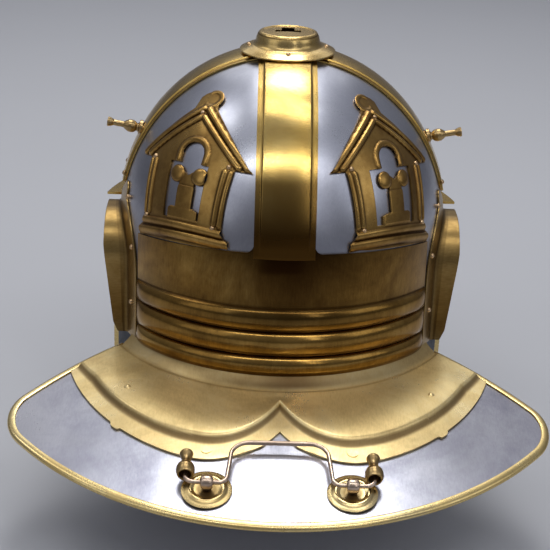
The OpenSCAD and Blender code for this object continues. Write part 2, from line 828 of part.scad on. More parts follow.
// Outline of a cheek guard in its own plane: [towards the front, down from the hinge]
cheek_top = 6.4;
module cheek_outline(g) {
    w = cheek_w / 2;
    offset(r = g) offset(r = 6, $fn = 48) offset(r = -6)
        polygon([
            [-w, -cheek_top], [w - 2, -cheek_top], [w, -28], [w - 12, -44],
            [w - 1, -62], [w - 3, -88], [w - 22, -cheek_h], [-w + 26, -cheek_h],
            [-w + 6, -86], [-w - 2, -60]
        ]);
}

// Gently curved wall that the cheek guard is cut from
cheek_bend = 130;
module cheek_wall(t1, t2) {
    translate([-cheek_bend, 0, -cheek_h - 10])
        difference() {
            cylinder(r = cheek_bend + t2, h = cheek_h + 12, $fn = 180);
            translate([0, 0, -1]) cylinder(r = cheek_bend + t1, h = cheek_h + 14, $fn = 180);
        }
}

module cheek_prism() rotate([90, 0, 90]) translate([0, 0, -30]) linear_extrude(60) children();

cheek_in = 1.9;
module cheek_plate_right() color(steel)
    in_cheek() translate([-cheek_in, 0, 0])
        intersection() {
            cheek_wall(0, steel_t);
            cheek_prism() cheek_outline(0);
        }

module cheek_binding_right() color(brass)
    in_cheek() translate([-cheek_in, 0, 0])
        difference() {
            intersection() {
                cheek_wall(-0.9, steel_t + 0.9);
                cheek_prism() cheek_outline(1.3);
            }
            cheek_prism() cheek_outline(0.05);
            translate([-20, -hinge_half - 1, -cheek_top - 4]) cube([40, 2 * hinge_half + 2, 8]);
        }

module cheek_rivets_right() color(brass)
    in_cheek() {
        for (y = [-13, 13])
            translate([0.6, y, -10]) rotate([0, 90, 0]) rivet(1.7, 1.2, 3);
        for (p = [[-16, -40], [10, -74], [-8, -100]])
            translate([cheek_bend * (cos(asin(p[0] / cheek_bend)) - 1) - cheek_in + steel_t,
                       p[0], p[1]])
                rotate([0, 90, 0]) rivet(3.4, 2, 2.4);
    }

module hinge_leaf_left() mirror([1, 0, 0]) hinge_leaf_right();
module hinge_rivets_left() mirror([1, 0, 0]) hinge_rivets_right();
module cheek_plate_left() mirror([1, 0, 0]) cheek_plate_right();
module cheek_binding_left() mirror([1, 0, 0]) cheek_binding_right();
module cheek_hinge_left() mirror([1, 0, 0]) cheek_hinge_right();
module cheek_pin_left() mirror([1, 0, 0]) cheek_pin_right();
module cheek_rivets_left() mirror([1, 0, 0]) cheek_rivets_right();

// ---------------------------------------------------------------- liner

liner_out = -steel_t - 0.9;
liner_t = 3;
liner_top = 112;
module liner() color(leather)
    difference() {
        layer(liner_out - liner_t, liner_out);
        across(-150, 150) below_rim(6);
        across(-150, 150) ear_outline(6);
        translate([-150, -150, liner_top]) cube([300, 300, 60]);
    }

module liner_crown_pad() color(leather)
    intersection() {
        form(liner_out - 1);
        translate([0, 0, liner_top + 0.8]) cylinder(r = 30, h = 20, $fn = 64);
    }

// ---------------------------------------------------------------- drawing

bowl();
neck_guard();
guard_binding();
neck_plate();
nape_band();
fore_aft_band();
cross_band_left();
cross_band_right();
brow_band();
brow_guard();
crest_boss();
plaque_rear_left();
plaque_rear_right();
plaque_front_left();
plaque_front_right();
ear_guard_left();
ear_guard_right();
plaque_rivets();
ear_guard_rivets();
band_rivets();
neck_plate_rivets();
brow_guard_rivets();
boss_rivets();
crest_stud_left();
crest_stud_right();
handle_washer_left();
handle_washer_right();
split_pin_left();
split_pin_right();
liner();
liner_crown_pad();
hinge_leaf_left();
hinge_leaf_right();
hinge_rivets_left();
hinge_rivets_right();
handle_bar();
handle_finial_left();
handle_finial_right();
cheek_plate_left();
cheek_binding_left();
cheek_hinge_left();
cheek_pin_left();
cheek_rivets_left();
cheek_plate_right();
cheek_binding_right();
cheek_hinge_right();
cheek_pin_right();
cheek_rivets_right();
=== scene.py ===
# Looks of a legionary helmet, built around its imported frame.
# Shapes are in millimetres, and make_mesh() turns them into metres. Studio lights are in metres.
# +X is the wearer's right, +Y the wearer's front and +Z up. An angle on the bowl is in
# degrees from the rear, positive towards +X.
import json
import math
import bpy
import bmesh
import numpy as np
from mathutils.geometry import delaunay_2d_cdt
from mathutils import Matrix, Vector


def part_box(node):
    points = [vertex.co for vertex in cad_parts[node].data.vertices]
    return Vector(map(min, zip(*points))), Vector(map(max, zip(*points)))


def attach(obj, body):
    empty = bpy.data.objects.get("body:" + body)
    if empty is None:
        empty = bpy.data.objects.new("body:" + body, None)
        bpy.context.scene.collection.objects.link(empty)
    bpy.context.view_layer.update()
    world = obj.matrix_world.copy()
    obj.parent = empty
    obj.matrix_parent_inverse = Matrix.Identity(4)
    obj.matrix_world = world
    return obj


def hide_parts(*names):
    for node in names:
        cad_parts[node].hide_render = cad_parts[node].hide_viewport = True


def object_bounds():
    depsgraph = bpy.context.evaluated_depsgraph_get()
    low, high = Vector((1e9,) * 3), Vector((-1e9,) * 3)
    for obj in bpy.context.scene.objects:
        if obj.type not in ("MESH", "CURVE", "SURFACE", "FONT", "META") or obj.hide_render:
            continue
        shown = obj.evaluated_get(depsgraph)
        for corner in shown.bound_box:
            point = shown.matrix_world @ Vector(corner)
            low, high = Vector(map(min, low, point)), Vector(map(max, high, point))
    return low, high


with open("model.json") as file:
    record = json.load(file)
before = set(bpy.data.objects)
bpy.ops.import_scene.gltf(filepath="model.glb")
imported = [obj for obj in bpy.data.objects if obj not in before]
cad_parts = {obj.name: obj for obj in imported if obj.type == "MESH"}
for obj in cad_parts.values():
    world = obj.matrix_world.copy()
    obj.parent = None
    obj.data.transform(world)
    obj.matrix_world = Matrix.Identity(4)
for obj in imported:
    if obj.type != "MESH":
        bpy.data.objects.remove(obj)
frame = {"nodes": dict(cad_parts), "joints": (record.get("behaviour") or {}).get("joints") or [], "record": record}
cad_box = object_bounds()
scene = bpy.context.scene
MM = 0.001
HANDS = ("right", 1), ("left", -1)


# ------------ camera

def look(target, distance, elevation, yaw, roll):
    """World matrix of a camera that looks at target (mm) from behind the helmet."""
    place_at = Matrix.Translation(Vector(target) * MM)
    for degrees, axis in ((-yaw, "Z"), (90 - elevation, "X"), (roll, "Z")):
        place_at = place_at @ Matrix.Rotation(math.radians(degrees), 4, axis)
    return place_at @ Matrix.Translation((0, 0, distance * MM))


camera_data = bpy.data.cameras.new("camera")
camera_data.sensor_width = 36
camera_data.lens = 98.2
camera_data.clip_start = 0.05
camera = bpy.data.objects.new("camera", camera_data)
camera.matrix_world = look((-3, 0, -23), 1000, 22, 1, 2)
scene.collection.objects.link(camera)
scene.camera = camera


# ------------ sizes from the frame

def corners(node):
    """Lowest and highest corner of a CAD node, in millimetres."""
    low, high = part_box(node)
    return low / MM, high / MM


bowl_high = corners("bowl")[1]
semi_x = bowl_high.x
semi_y = bowl_high.y
steel_t = 1.2
brass_t = 1.1
gap = 0.15
spring_z = 20
boss_low, boss_high = corners("crest_boss")
boss_rise = 12.2
dome_h = boss_high.z - boss_rise - spring_z
band_half = corners("fore_aft_band")[1].x
band_raise = 2.4
nape_z = -42
nape_fall = 5
guard_angle = 62
guard_sweep = 8
guard_drop = 32
guard_reach = -corners("neck_guard")[0].y / semi_y
ear_rear, ear_front, ear_top, ear_r = -44, 16, 28, 26
ear_spring = ear_top - ear_r
ear_arcs = (ear_rear + ear_r, 180, 90), (ear_front - ear_r, 90, 0)


def plan_share(z, g):
    """Radius of the bowl's plan at height z, as a share of its widest plan."""
    t = np.clip((np.asarray(z, float) - spring_z) / (dome_h + g), 0, 1)
    return np.sqrt(np.maximum(0, 1 - t * t))


def on_bowl(a, z, g):
    """Points g outside the bowl, at angles a from the rear and heights z."""
    a, z, g = np.broadcast_arrays(np.radians(a), np.asarray(z, float), np.asarray(g, float))
    k = plan_share(z, g)
    return np.stack([(semi_x + g) * k * np.sin(a), -(semi_y + g) * k * np.cos(a), z], -1)


def nape_rim(a):
    """Lower edge of the bowl behind the ears, highest at the rear."""
    c = 1 - math.cos(math.radians(guard_angle))
    return nape_z - nape_fall * (1 - np.cos(np.radians(a))) / c


def smooth(t):
    t = np.clip(t, 0, 1)
    return t * t * (3 - 2 * t)


def unit(vectors):
    return vectors / np.linalg.norm(vectors, axis=-1, keepdims=True)


def arc_points(centre, r, start, end, count):
    """Places on an arc in a plane, between two angles in degrees."""
    t = np.radians(np.linspace(start, end, count))
    return [(centre[0] + r * math.cos(v), centre[1] + r * math.sin(v)) for v in t]


# ------------ meshes

def make_mesh(name, points, faces, material, grime_and_shade=None, painted_shade=None):
    """A smooth mesh object from points in millimetres, with grime and painted shade, and a darker painted shade
    tone, at each point.
    """
    mesh = bpy.data.meshes.new(name)
    mesh.from_pydata((np.asarray(points, float).reshape(-1, 3) * MM).tolist(), [], faces)
    for layer_name, values in (("grime_and_shade", grime_and_shade), ("painted_shade", painted_shade)):
        if values is not None:
            layer = mesh.attributes.new(layer_name, "FLOAT", "POINT")
            layer.data.foreach_set("value", np.asarray(values, np.float32).ravel())
    mesh.polygons.foreach_set("use_smooth", [True] * len(mesh.polygons))
    mesh.update()
    thing = bpy.data.objects.new(name, mesh)
    scene.collection.objects.link(thing)
    mesh.materials.append(material)
    return thing


def closed_piece(name, points, faces, material, grime_and_shade=None):
    """A mesh object whose faces are turned to point outwards."""
    thing = make_mesh(name, points, faces, material, grime_and_shade)
    mesh = bmesh.new()
    mesh.from_mesh(thing.data)
    bmesh.ops.recalc_face_normals(mesh, faces=mesh.faces)
    mesh.to_mesh(thing.data)
    mesh.free()
    return thing


def grid_faces(rows, columns, wrap_rows=False, wrap_columns=False):
    """Quads of a grid of points, wound so that rows x columns points outwards."""
    faces = []
    for i in range(rows if wrap_rows else rows - 1):
        for j in range(columns if wrap_columns else columns - 1):
            k, m = (i + 1) % rows, (j + 1) % columns
            faces.append((i * columns + j, k * columns + j, k * columns + m, i * columns + m))
    return faces


def thicken(thing, thickness, round_edge=0.3, offset=-1):
    """Sheet thickness under the surface, with softly rounded edges."""
    solid = thing.modifiers.new("sheet", "SOLIDIFY")
    solid.thickness = thickness * MM
    solid.offset = offset
    soften(thing, round_edge)


def soften(thing, width, angle=40):
    """Rounds the sharp edges of a piece."""
    bevel = thing.modifiers.new("edges", "BEVEL")
    bevel.width = width * MM
    bevel.segments = 2
    bevel.limit_method = "ANGLE"
    bevel.angle_limit = math.radians(angle)
    bevel.use_clamp_overlap = True
    weight = thing.modifiers.new("normals", "WEIGHTED_NORMAL")
    weight.keep_sharp = True
    weight.weight = 60


def place(thing, body, slot, *nodes):
    """Rides a finished piece on its body in place of the CAD nodes it stands for."""
    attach(thing, body)
    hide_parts(*nodes)


# ------------ materials

def shader_tree(name):
    """A new material and its node(kind, inputs, **settings), which adds and links a shader node."""
    material = bpy.data.materials.new(name)
    material.use_nodes = True
    tree = material.node_tree
    tree.nodes.clear()

    def node(kind, inputs=None, **settings):
        n = tree.nodes.new("ShaderNode" + kind)
        for key, value in settings.items():
            setattr(n, key, value)
        for key, value in (inputs or {}).items():
            if isinstance(value, bpy.types.NodeSocket):
                tree.links.new(value, n.inputs[key])
            else:
                n.inputs[key].default_value = value
        return n

    return material, node


def noise(node, where, scale, detail, roughness, distortion=0.0):
    return node("TexNoise", {"Vector": where, "Scale": scale, "Detail": detail, "Roughness": roughness,
                             "Distortion": distortion}).outputs["Fac"]


def mix(node, share, first, second):
    return node("MixRGB", {"Fac": share, "Color1": first, "Color2": second}).outputs[0]


def painted(node, name):
    """The value that a piece holds at each point under a name."""
    return node("Attribute", attribute_name=name, attribute_type="GEOMETRY").outputs["Fac"]


def bump(node, height, strength, distance, under=None):
    below = {"Normal": under} if under else {}
    return node("Bump", {"Height": height, "Strength": strength, "Distance": distance, **below}).outputs[0]


def shade(colour, *shares):
    """A colour darkened by a share for each channel."""
    return [c * share for c, share in zip(colour, shares)] + [1]


def surface(node, **inputs):
    """Principled surface of a material, with its inputs by name."""
    values = {key.replace("_", " ").title(): value for key, value in inputs.items()}
    node("OutputMaterial", {"Surface": node("BsdfPrincipled", values).outputs[0]})


def ramp(node, factor, *stops):
    """Colour ramp through (place, colour) stops."""
    n = node("ValToRGB", {"Fac": factor})
    elements = n.color_ramp.elements
    while len(elements) < len(stops):
        elements.new(0.5)
    for e, (where, colour) in zip(elements, stops):
        e.position = where
        e.color = (*colour, 1) if len(colour) == 3 else (colour[0],) * 3 + (1,)
    return n.outputs["Color"]


def metal(name, pale, mid, dark, roughness, patina=0.5, brushed=(1, 1, 1), grain=0.04,
          dents=0.12, tarnish=0.3, metallic=1.0, scale=1.0):
    """Worn sheet metal: cloudy patina, grain, fine scratches, shallow dents, grime with painted shade in hollows,
    and painted shade tones read from the piece.
    """
    material, node = shader_tree(name)
    where = node("TexCoord").outputs["Object"]
    clouds = noise(node, where, 22 * scale, 6.0, 0.62, 0.6)
    drawn = node("Mapping", {"Vector": where, "Scale": brushed}).outputs[0]
    streaks = noise(node, drawn, 240 * scale, 4.0, 0.7)
    tone = mix(node, 0.30, clouds, streaks)
    base = ramp(node, tone, (0.36, pale), (0.52, mid), (0.36 + 0.5 / (0.5 + patina), dark))
    bruised = noise(node, where, 11 * scale, 9.0, 0.7, 1.2)
    stain = ramp(node, bruised, (0.44, (0.0,)), (0.66, (tarnish,)))
    stained = mix(node, stain, base, shade(dark, 0.7, 0.7, 0.7))
    # Painted shade: darkened towards a deep brown where the piece's painted shade value is high.
    shade_toned = mix(node, painted(node, "painted_shade"), stained, shade(dark, 0.24, 0.19, 0.18))
    spots = noise(node, where, 330 * scale, 3.0, 0.6)
    speck = ramp(node, spots, (0.74, (0.0,)), (0.82, (0.3,)))
    specked = mix(node, speck, shade_toned, (*dark, 1))
    # Grime and painted shade in hollows: darker and rougher where the piece's value is high.
    grime_and_shade = painted(node, "grime_and_shade")
    shaded_and_grimed = mix(node, grime_and_shade, specked, shade(dark, 0.30, 0.26, 0.24))
    rough = node("MapRange", {"Value": tone, "From Min": 0.3, "From Max": 0.7,
                              "To Min": roughness * 0.78, "To Max": roughness * 1.35}).outputs[0]
    rougher = node("Math", {0: grime_and_shade, 1: 0.22, 2: rough}, operation="MULTIPLY_ADD").outputs[0]
    hammered = noise(node, where, 34.0, 1.5, 0.4)
    wavy = bump(node, hammered, dents, 0.0015, bump(node, streaks, grain, 0.0006))
    surface(node, base_color=shaded_and_grimed, roughness=rougher, normal=wavy, metallic=metallic)
    return material


def hide(name, pale, dark):
    """Suede side of vegetable tanned leather."""
    material, node = shader_tree(name)
    where = node("TexCoord").outputs["Object"]
    clouds = noise(node, where, 30.0, 6.0, 0.6)
    cells = node("TexVoronoi", {"Vector": where, "Scale": 420.0}, feature="DISTANCE_TO_EDGE")
    base = ramp(node, clouds, (0.32, dark), (0.68, pale))
    worn = bump(node, clouds, 0.3, 0.002, bump(node, cells.outputs["Distance"], 0.35, 0.0006))
    rough = node("MapRange", {"Value": clouds, "To Min": 0.62, "To Max": 0.92}).outputs[0]
    surface(node, base_color=base, roughness=rough, normal=worn)
    return material


def plain(name, colour, roughness):
    """Matt studio surface with a faint mottle."""
    material, node = shader_tree(name)
    mottle = noise(node, node("TexCoord").outputs["Object"], 5.0, 2.0, 0.5)
    base = ramp(node, mottle, (0.3, [c * 0.985 for c in colour]), (0.7, colour))
    surface(node, base_color=base, roughness=roughness)
    return material


STEEL = metal("polished_steel", (0.62, 0.63, 0.69), (0.50, 0.51, 0.58), (0.32, 0.33, 0.40), 0.30,
              patina=0.6, brushed=(5, 5, 0.6), grain=0.012, dents=0.04, tarnish=0.25)
GUARD_STEEL = metal("guard_steel", (0.60, 0.605, 0.66), (0.45, 0.455, 0.52), (0.27, 0.27, 0.34), 0.34,
                    patina=0.8, brushed=(4, 1, 1), dents=0.08, tarnish=0.45)
DARK_STEEL = metal("dull_steel", (0.20, 0.215, 0.24), (0.15, 0.16, 0.19), (0.08, 0.09, 0.11), 0.42,
                   patina=0.7, grain=0.08)
BRASS = metal("polished_brass", (0.84, 0.60, 0.21), (0.68, 0.45, 0.125), (0.32, 0.18, 0.04), 0.21,
              patina=0.6, brushed=(5, 5, 0.6), grain=0.05, dents=0.2, tarnish=0.45)
EDGE_BRASS = metal("edging_brass", (0.84, 0.68, 0.34), (0.74, 0.56, 0.24), (0.42, 0.27, 0.09), 0.26,
                   brushed=(4, 1, 1))
PLATE_BRASS = metal("guard_brass", (0.97, 0.79, 0.42), (0.88, 0.67, 0.30), (0.46, 0.29, 0.10), 0.29,
                    patina=0.6, brushed=(4, 1, 1), grain=0.012, tarnish=0.45, metallic=0.75)
AGED_BRASS = metal("aged_brass", (0.46, 0.28, 0.078), (0.30, 0.165, 0.038), (0.10, 0.048, 0.012), 0.19,
                   patina=0.9, brushed=(5, 5, 0.6), dents=0.15, tarnish=0.6)
PLAQUE_BRASS = metal("plaque_brass", (0.50, 0.31, 0.095), (0.37, 0.215, 0.06), (0.15, 0.075, 0.022), 0.28,
                     patina=0.9, grain=0.06, tarnish=0.55)
BOSS_BRASS = metal("crest_boss_brass", (0.78, 0.58, 0.26), (0.62, 0.43, 0.16), (0.30, 0.18, 0.06), 0.25,
                   patina=0.7, tarnish=0.45)
EAR_BRASS = metal("ear_guard_brass", (0.50, 0.34, 0.13), (0.36, 0.235, 0.08), (0.16, 0.09, 0.03), 0.27,
                  patina=0.8, brushed=(1, 1, 5), tarnish=0.5)
TURNED_BRASS = metal("turned_brass", (0.58, 0.42, 0.20), (0.44, 0.30, 0.13), (0.20, 0.12, 0.05), 0.28,
                     patina=0.8, scale=2.0, tarnish=0.4)
WIRE_BRASS = metal("wire_brass", (0.72, 0.56, 0.43), (0.56, 0.42, 0.32), (0.28, 0.19, 0.13), 0.27,
                   brushed=(1, 6, 6))
WASHER_BRASS = metal("washer_brass", (0.82, 0.65, 0.33), (0.70, 0.52, 0.23), (0.42, 0.28, 0.10), 0.25)
RIVET_BRASS = metal("rivet_brass", (0.74, 0.53, 0.32), (0.58, 0.39, 0.21), (0.32, 0.19, 0.09), 0.30,
                    patina=0.6, scale=2.0)
LEATHER = hide("liner_leather", (0.30, 0.17, 0.085), (0.15, 0.08, 0.04))
FLOOR = plain("studio_floor", (0.47, 0.475, 0.50), 0.65)


# ------------ bowl

def ear_path(g, low_rear, low_front):
    """Edge of the ear opening widened by g, as (y, z) from its rear foot to its front foot."""
    rear = [(ear_rear - g, z) for z in np.linspace(low_rear, ear_spring, 20)[:-1]]
    front = [(ear_front + g, z) for z in np.linspace(ear_spring, low_front, 3)[1:]]
    for centre_y, start, end in ear_arcs:
        rear += arc_points((centre_y, ear_spring), ear_r + g, start, end, 18)
    return rear + front


def angle_at(y, z, g):
    """Angle from the rear at which the bowl's side passes a place (y, z)."""
    return np.degrees(np.arccos(np.clip(-y / ((semi_y + g) * plan_share(z, g)), -1, 1)))


def half_rim(g, lift, widen):
    """Lower edge of a bowl layer from the rear to the front, and where each point climbs to."""
    rear = angle_at(ear_rear - widen, 0, g)
    front = angle_at(ear_front + widen, 0, g)
    nape = [(a, nape_rim(a) + lift) for a in np.linspace(0, rear, 60)[:-1]]
    ear = [(angle_at(y, z, g), z) for y, z in ear_path(widen, nape_rim(rear) + lift, lift)]
    brow = [(a, lift) for a in np.linspace(front, 180, 60)[1:]]
    climb = [a for a, z in nape] + list(np.linspace(rear, front, len(ear))) + [a for a, z in brow]
    return np.array(nape + ear + brow), np.array(climb)


def bowl_grid(g, lift, widen, top):
    """Points of a layer of the bowl, from its lower edge up to the height top."""
    ring, strip_rows, dome_rows = 42, 14, 44
    rim, climb = half_rim(g, lift, widen)
    a0 = np.concatenate([rim[:, 0], -rim[-2:0:-1, 0]])
    z0 = np.concatenate([rim[:, 1], rim[-2:0:-1, 1]])
    a1 = np.concatenate([climb, -climb[-2:0:-1]])
    a1 = np.where(a0 < 0, -np.abs(a1), a1)
    t = np.linspace(0, 1, strip_rows)[:, None]
    strip = on_bowl(a0 + (a1 - a0) * t, z0 + (ring - z0) * t, g)
    lift_low = math.asin((ring - spring_z) / (dome_h + g))
    lift_high = math.asin(min(1, (top - spring_z) / (dome_h + g)))
    rise = np.linspace(lift_low, lift_high, dome_rows)[1:, None]
    crown = on_bowl(a1, spring_z + (dome_h + g) * np.sin(rise), g)
    return np.concatenate([strip, crown])


def grid_piece(name, grid, material, grime_and_shade=None, wrap=False, away=(0, 0, 20), painted_shade=None):
    """A sheet from a grid of points, facing away from the point away."""
    rows, columns = grid.shape[:2]
    faces = grid_faces(rows, columns, wrap_columns=wrap)
    i, j = rows // 2, columns // 3
    side = np.cross(grid[i + 1, j] - grid[i, j], grid[i, j + 1] - grid[i, j])
    if np.dot(side, grid[i, j] - away) < 0:
        faces = [f[::-1] for f in faces]
    return make_mesh(name, grid, faces, material, grime_and_shade, painted_shade)


bowl_sheet = bowl_grid(0, 0.1, 0, bowl_high.z)
# Painted shade: the bowl darkens towards the bottom, more on its left side.
lower_left_shade = 0.4 * smooth((95 - bowl_sheet[..., 2]) / 45) * (1 - 0.5 * smooth(bowl_sheet[..., 0] / 10))
bowl = grid_piece("steel_bowl", bowl_sheet, STEEL, wrap=True, painted_shade=lower_left_shade)
thicken(bowl, steel_t)
place(bowl, "root", "steel", "bowl")


# ------------ neck guard

corner_u = 0.87
corner_reach = 0.2
corner_q = guard_reach - corner_reach


def guard_fall(a):
    """Drop of the guard for each unit of q, least at its sides."""
    return guard_drop * (1 - 0.64 * (a / guard_angle) ** 2)


def guard_point(u, q, h):
    """Point h above the guard: u from side to side, -1 to 1, and q as a multiple of the bowl's plan."""
    u, q, h = np.broadcast_arrays(np.asarray(u, float), np.asarray(q, float), np.asarray(h, float))
    a = u * (guard_angle - guard_sweep * (q - 1))
    z = nape_rim(a) - guard_fall(a) * (q - 1) + h
    t = np.radians(a)
    return np.stack([semi_x * q * np.sin(t), -semi_y * q * np.cos(t), z], -1)


def guard_rim(inner):
    """The guard's free edge as (u, q) from the left root round the rear to the right root."""
    side = [(-1.0, q) for q in np.linspace(inner, corner_q, 40)[:-1]]
    turn = np.radians(np.linspace(0, 90, 26))
    corner = [(-corner_u - (1 - corner_u) * math.cos(t), corner_q + corner_reach * math.sin(t))
              for t in turn]
    rear = [(u, guard_reach) for u in np.linspace(-corner_u, corner_u, 130)[1:-1]]
    half = side + corner
    return np.array(half + rear + [(-u, q) for u, q in reversed(half)])


def guard_grid():
    """Rows from the bowl out to the free edge, following the rounded corners."""
    corner = 1 - (1 - corner_u) * (1 - np.cos(np.radians(np.linspace(90, 0, 16))))
    u = np.concatenate([-corner[::-1], np.linspace(-corner_u, corner_u, 120)[1:-1], corner])
    inner = 1.012
    over = np.maximum(0, (np.abs(u) - corner_u) / (1 - corner_u))
    edge = corner_q + corner_reach * np.sqrt(np.maximum(0, 1 - over ** 2))
    t = np.linspace(0, 1, 26)[:, None]
    return guard_point(u, inner + t * (edge - inner), 0)


guard_sheet = guard_grid()
under_guard = (0, -180, -300)
# Painted shade: the guard darkens towards its sides.
guard = grid_piece("steel_neck_guard", guard_sheet, GUARD_STEEL, away=under_guard,
                   painted_shade=0.35 * smooth((np.abs(guard_sheet[..., 0] + 15) - 50) / 90))
thicken(guard, steel_t, 0.2)
place(guard, "root", "steel", "neck_guard")

lip = 3.4
binding_section = [
    (-lip, 0.10), (-lip, 0.72), (-lip + 0.35, 1.02), (-1.8, 1.17), (-0.4, 1.14), (0.5, 0.86),
    (1.15, 0.25), (1.35, -0.6), (1.15, -1.45), (0.5, -2.06), (-0.4, -2.2), (-1.8, -2.2),
    (-lip + 0.35, -2.15), (-lip, -1.95), (-lip, -1.33), (0, -1.33), (0, 0.10),
]


def guard_level(p):
    """The guard's top surface over places in plan."""
    q = np.hypot(p[..., 0] / semi_x, p[..., 1] / semi_y)
    a = np.degrees(np.arctan2(p[..., 0] / semi_x, -p[..., 1] / semi_y))
    return nape_rim(a) - guard_fall(a) * (q - 1)


def binding_piece():
    """Edge binding: its section of (outward, up) places swept along the guard's free edge."""
    path = guard_point(*guard_rim(1.09).T, 0)
    along = np.gradient(path, axis=0)
    outward = unit(np.stack([along[:, 1], -along[:, 0], 0 * along[:, 0]], -1))
    section = np.array(binding_section)
    points = path[:, None] + outward[:, None] * section[:, :1]
    points[..., 2] = guard_level(points) + section[:, 1]
    count, m = points.shape[:2]
    faces = grid_faces(count, m, wrap_columns=True)
    faces += [range(m)[::-1], range((count - 1) * m, count * m)]
    binding = closed_piece("guard_edge_binding", points, faces, EDGE_BRASS)
    soften(binding, 0.12, angle=50)
    place(binding, "root", "bright_brass", "guard_binding")


binding_piece()


# ------------ embossed plate of the guard

emboss_h, step_h = 3, 0.55
root_q, crease_q = 1.03, 1.11
notch_angle, shoulder_angle, tab_angle = 4, 19.5, 39
cusp_angle = 20


def plate_edge(a):
    """Free edge of the plate: a notch behind, round shoulders beside it and long sides with a tab."""
    m = np.abs(a)
    notch = 1.384 + 0.0255 * m
    shoulder = 1.486 + 0.14 * np.sin(np.pi / 2 * (m - notch_angle) / (shoulder_angle - notch_angle))
    side = 1.626 - 0.115 * (np.maximum(0, m - shoulder_angle) / 35.3) ** 1.7
    tab = 0.018 * smooth((1.6 - np.abs(m - tab_angle)) / 0.7)
    return np.where(m < notch_angle, notch, np.where(m < shoulder_angle, shoulder, side)) + tab


def ridge_line(a):
    """Ridge of the embossing: two bows that meet in a cusp behind."""
    m = np.abs(a)
    cusp = 1.21 + 0.276 * (1 - np.clip(1 - m / cusp_angle, 0, 1) ** 2.2)
    run = 1.42 + 0.055 * np.sin(np.pi * np.clip((m - 10) / 44, 0, 1)) - 0.001 * np.maximum(0, m - 30)
    return np.where(m < cusp_angle, cusp, run + 0.03 * np.exp(-((m - cusp_angle) / 9) ** 2))


def plate_height(a, q):
    """Embossed height: a flared root, a pillow that swells to the ridge, and a flat border."""
    m = np.abs(a)
    r = ridge_line(a)
    flare = 4.0 * np.clip((crease_q - q) / (crease_q - root_q), 0, 1) ** 2
    start = np.minimum(crease_q + 0.035, r - 0.05)
    swell = smooth((q - start) / (r - 0.012 - start)) ** 0.8
    step = step_h * smooth((q - crease_q) / 0.008) * (1 - smooth((q - r) / 0.03))
    drop = 1 - smooth((q - r + 0.010) / 0.036)
    fade = 1 - 0.55 * smooth((m - 50) / 12)
    return flare + (emboss_h - step_h) * swell * drop * fade + step


def plate_piece():
    """Embossed plate over the guard, kept clear of the lip of its edge binding."""
    u = np.concatenate([np.linspace(-1, -0.36, 110)[:-1], np.linspace(-0.36, 0.36, 181),
                        np.linspace(0.36, 1, 110)[1:]])
    a = u * guard_angle
    q = root_q + np.linspace(0, 1, 92)[:, None] ** 0.9 * (plate_edge(a) - root_q)
    spread = np.radians(guard_angle - guard_sweep * (q - 1))
    reach = 1 - (lip + 0.15) / (1.113 * semi_y * q / 1.144 * spread)
    u = u * np.where(q > 1.085, reach, 0.985)
    grid = guard_point(u, q, 0.35 + brass_t + plate_height(a, q))
    # Painted shade in the trench below the ridge and along the root under the ribs, strongest behind.
    past = q - ridge_line(a)
    trench = smooth(past / 0.010) * (1 - smooth((past - 0.028) / 0.02))
    root = smooth((crease_q + 0.012 - q) / 0.05)
    grime_and_shade = 0.8 * trench + (0.55 + 0.4 * np.exp(-((a - 4) / 16) ** 2)) * root
    plate = grid_piece("embossed_guard_plate", grid, PLATE_BRASS, grime_and_shade=grime_and_shade, away=under_guard)
    thicken(plate, brass_t, 0.2)
    place(plate, "root", "bright_brass", "neck_plate")


plate_piece()


# ------------ nape band and crown bands

band_end = 58
band_top = (38, 28)
rib_h = 4.4
rib_edges = [(4.3, -2.0), (-10.7, -15.5), (-26.3, -32.0), (-39.8, -44.6)]
corner_fillet = 4
nape_g = gap + 0.15 + brass_t


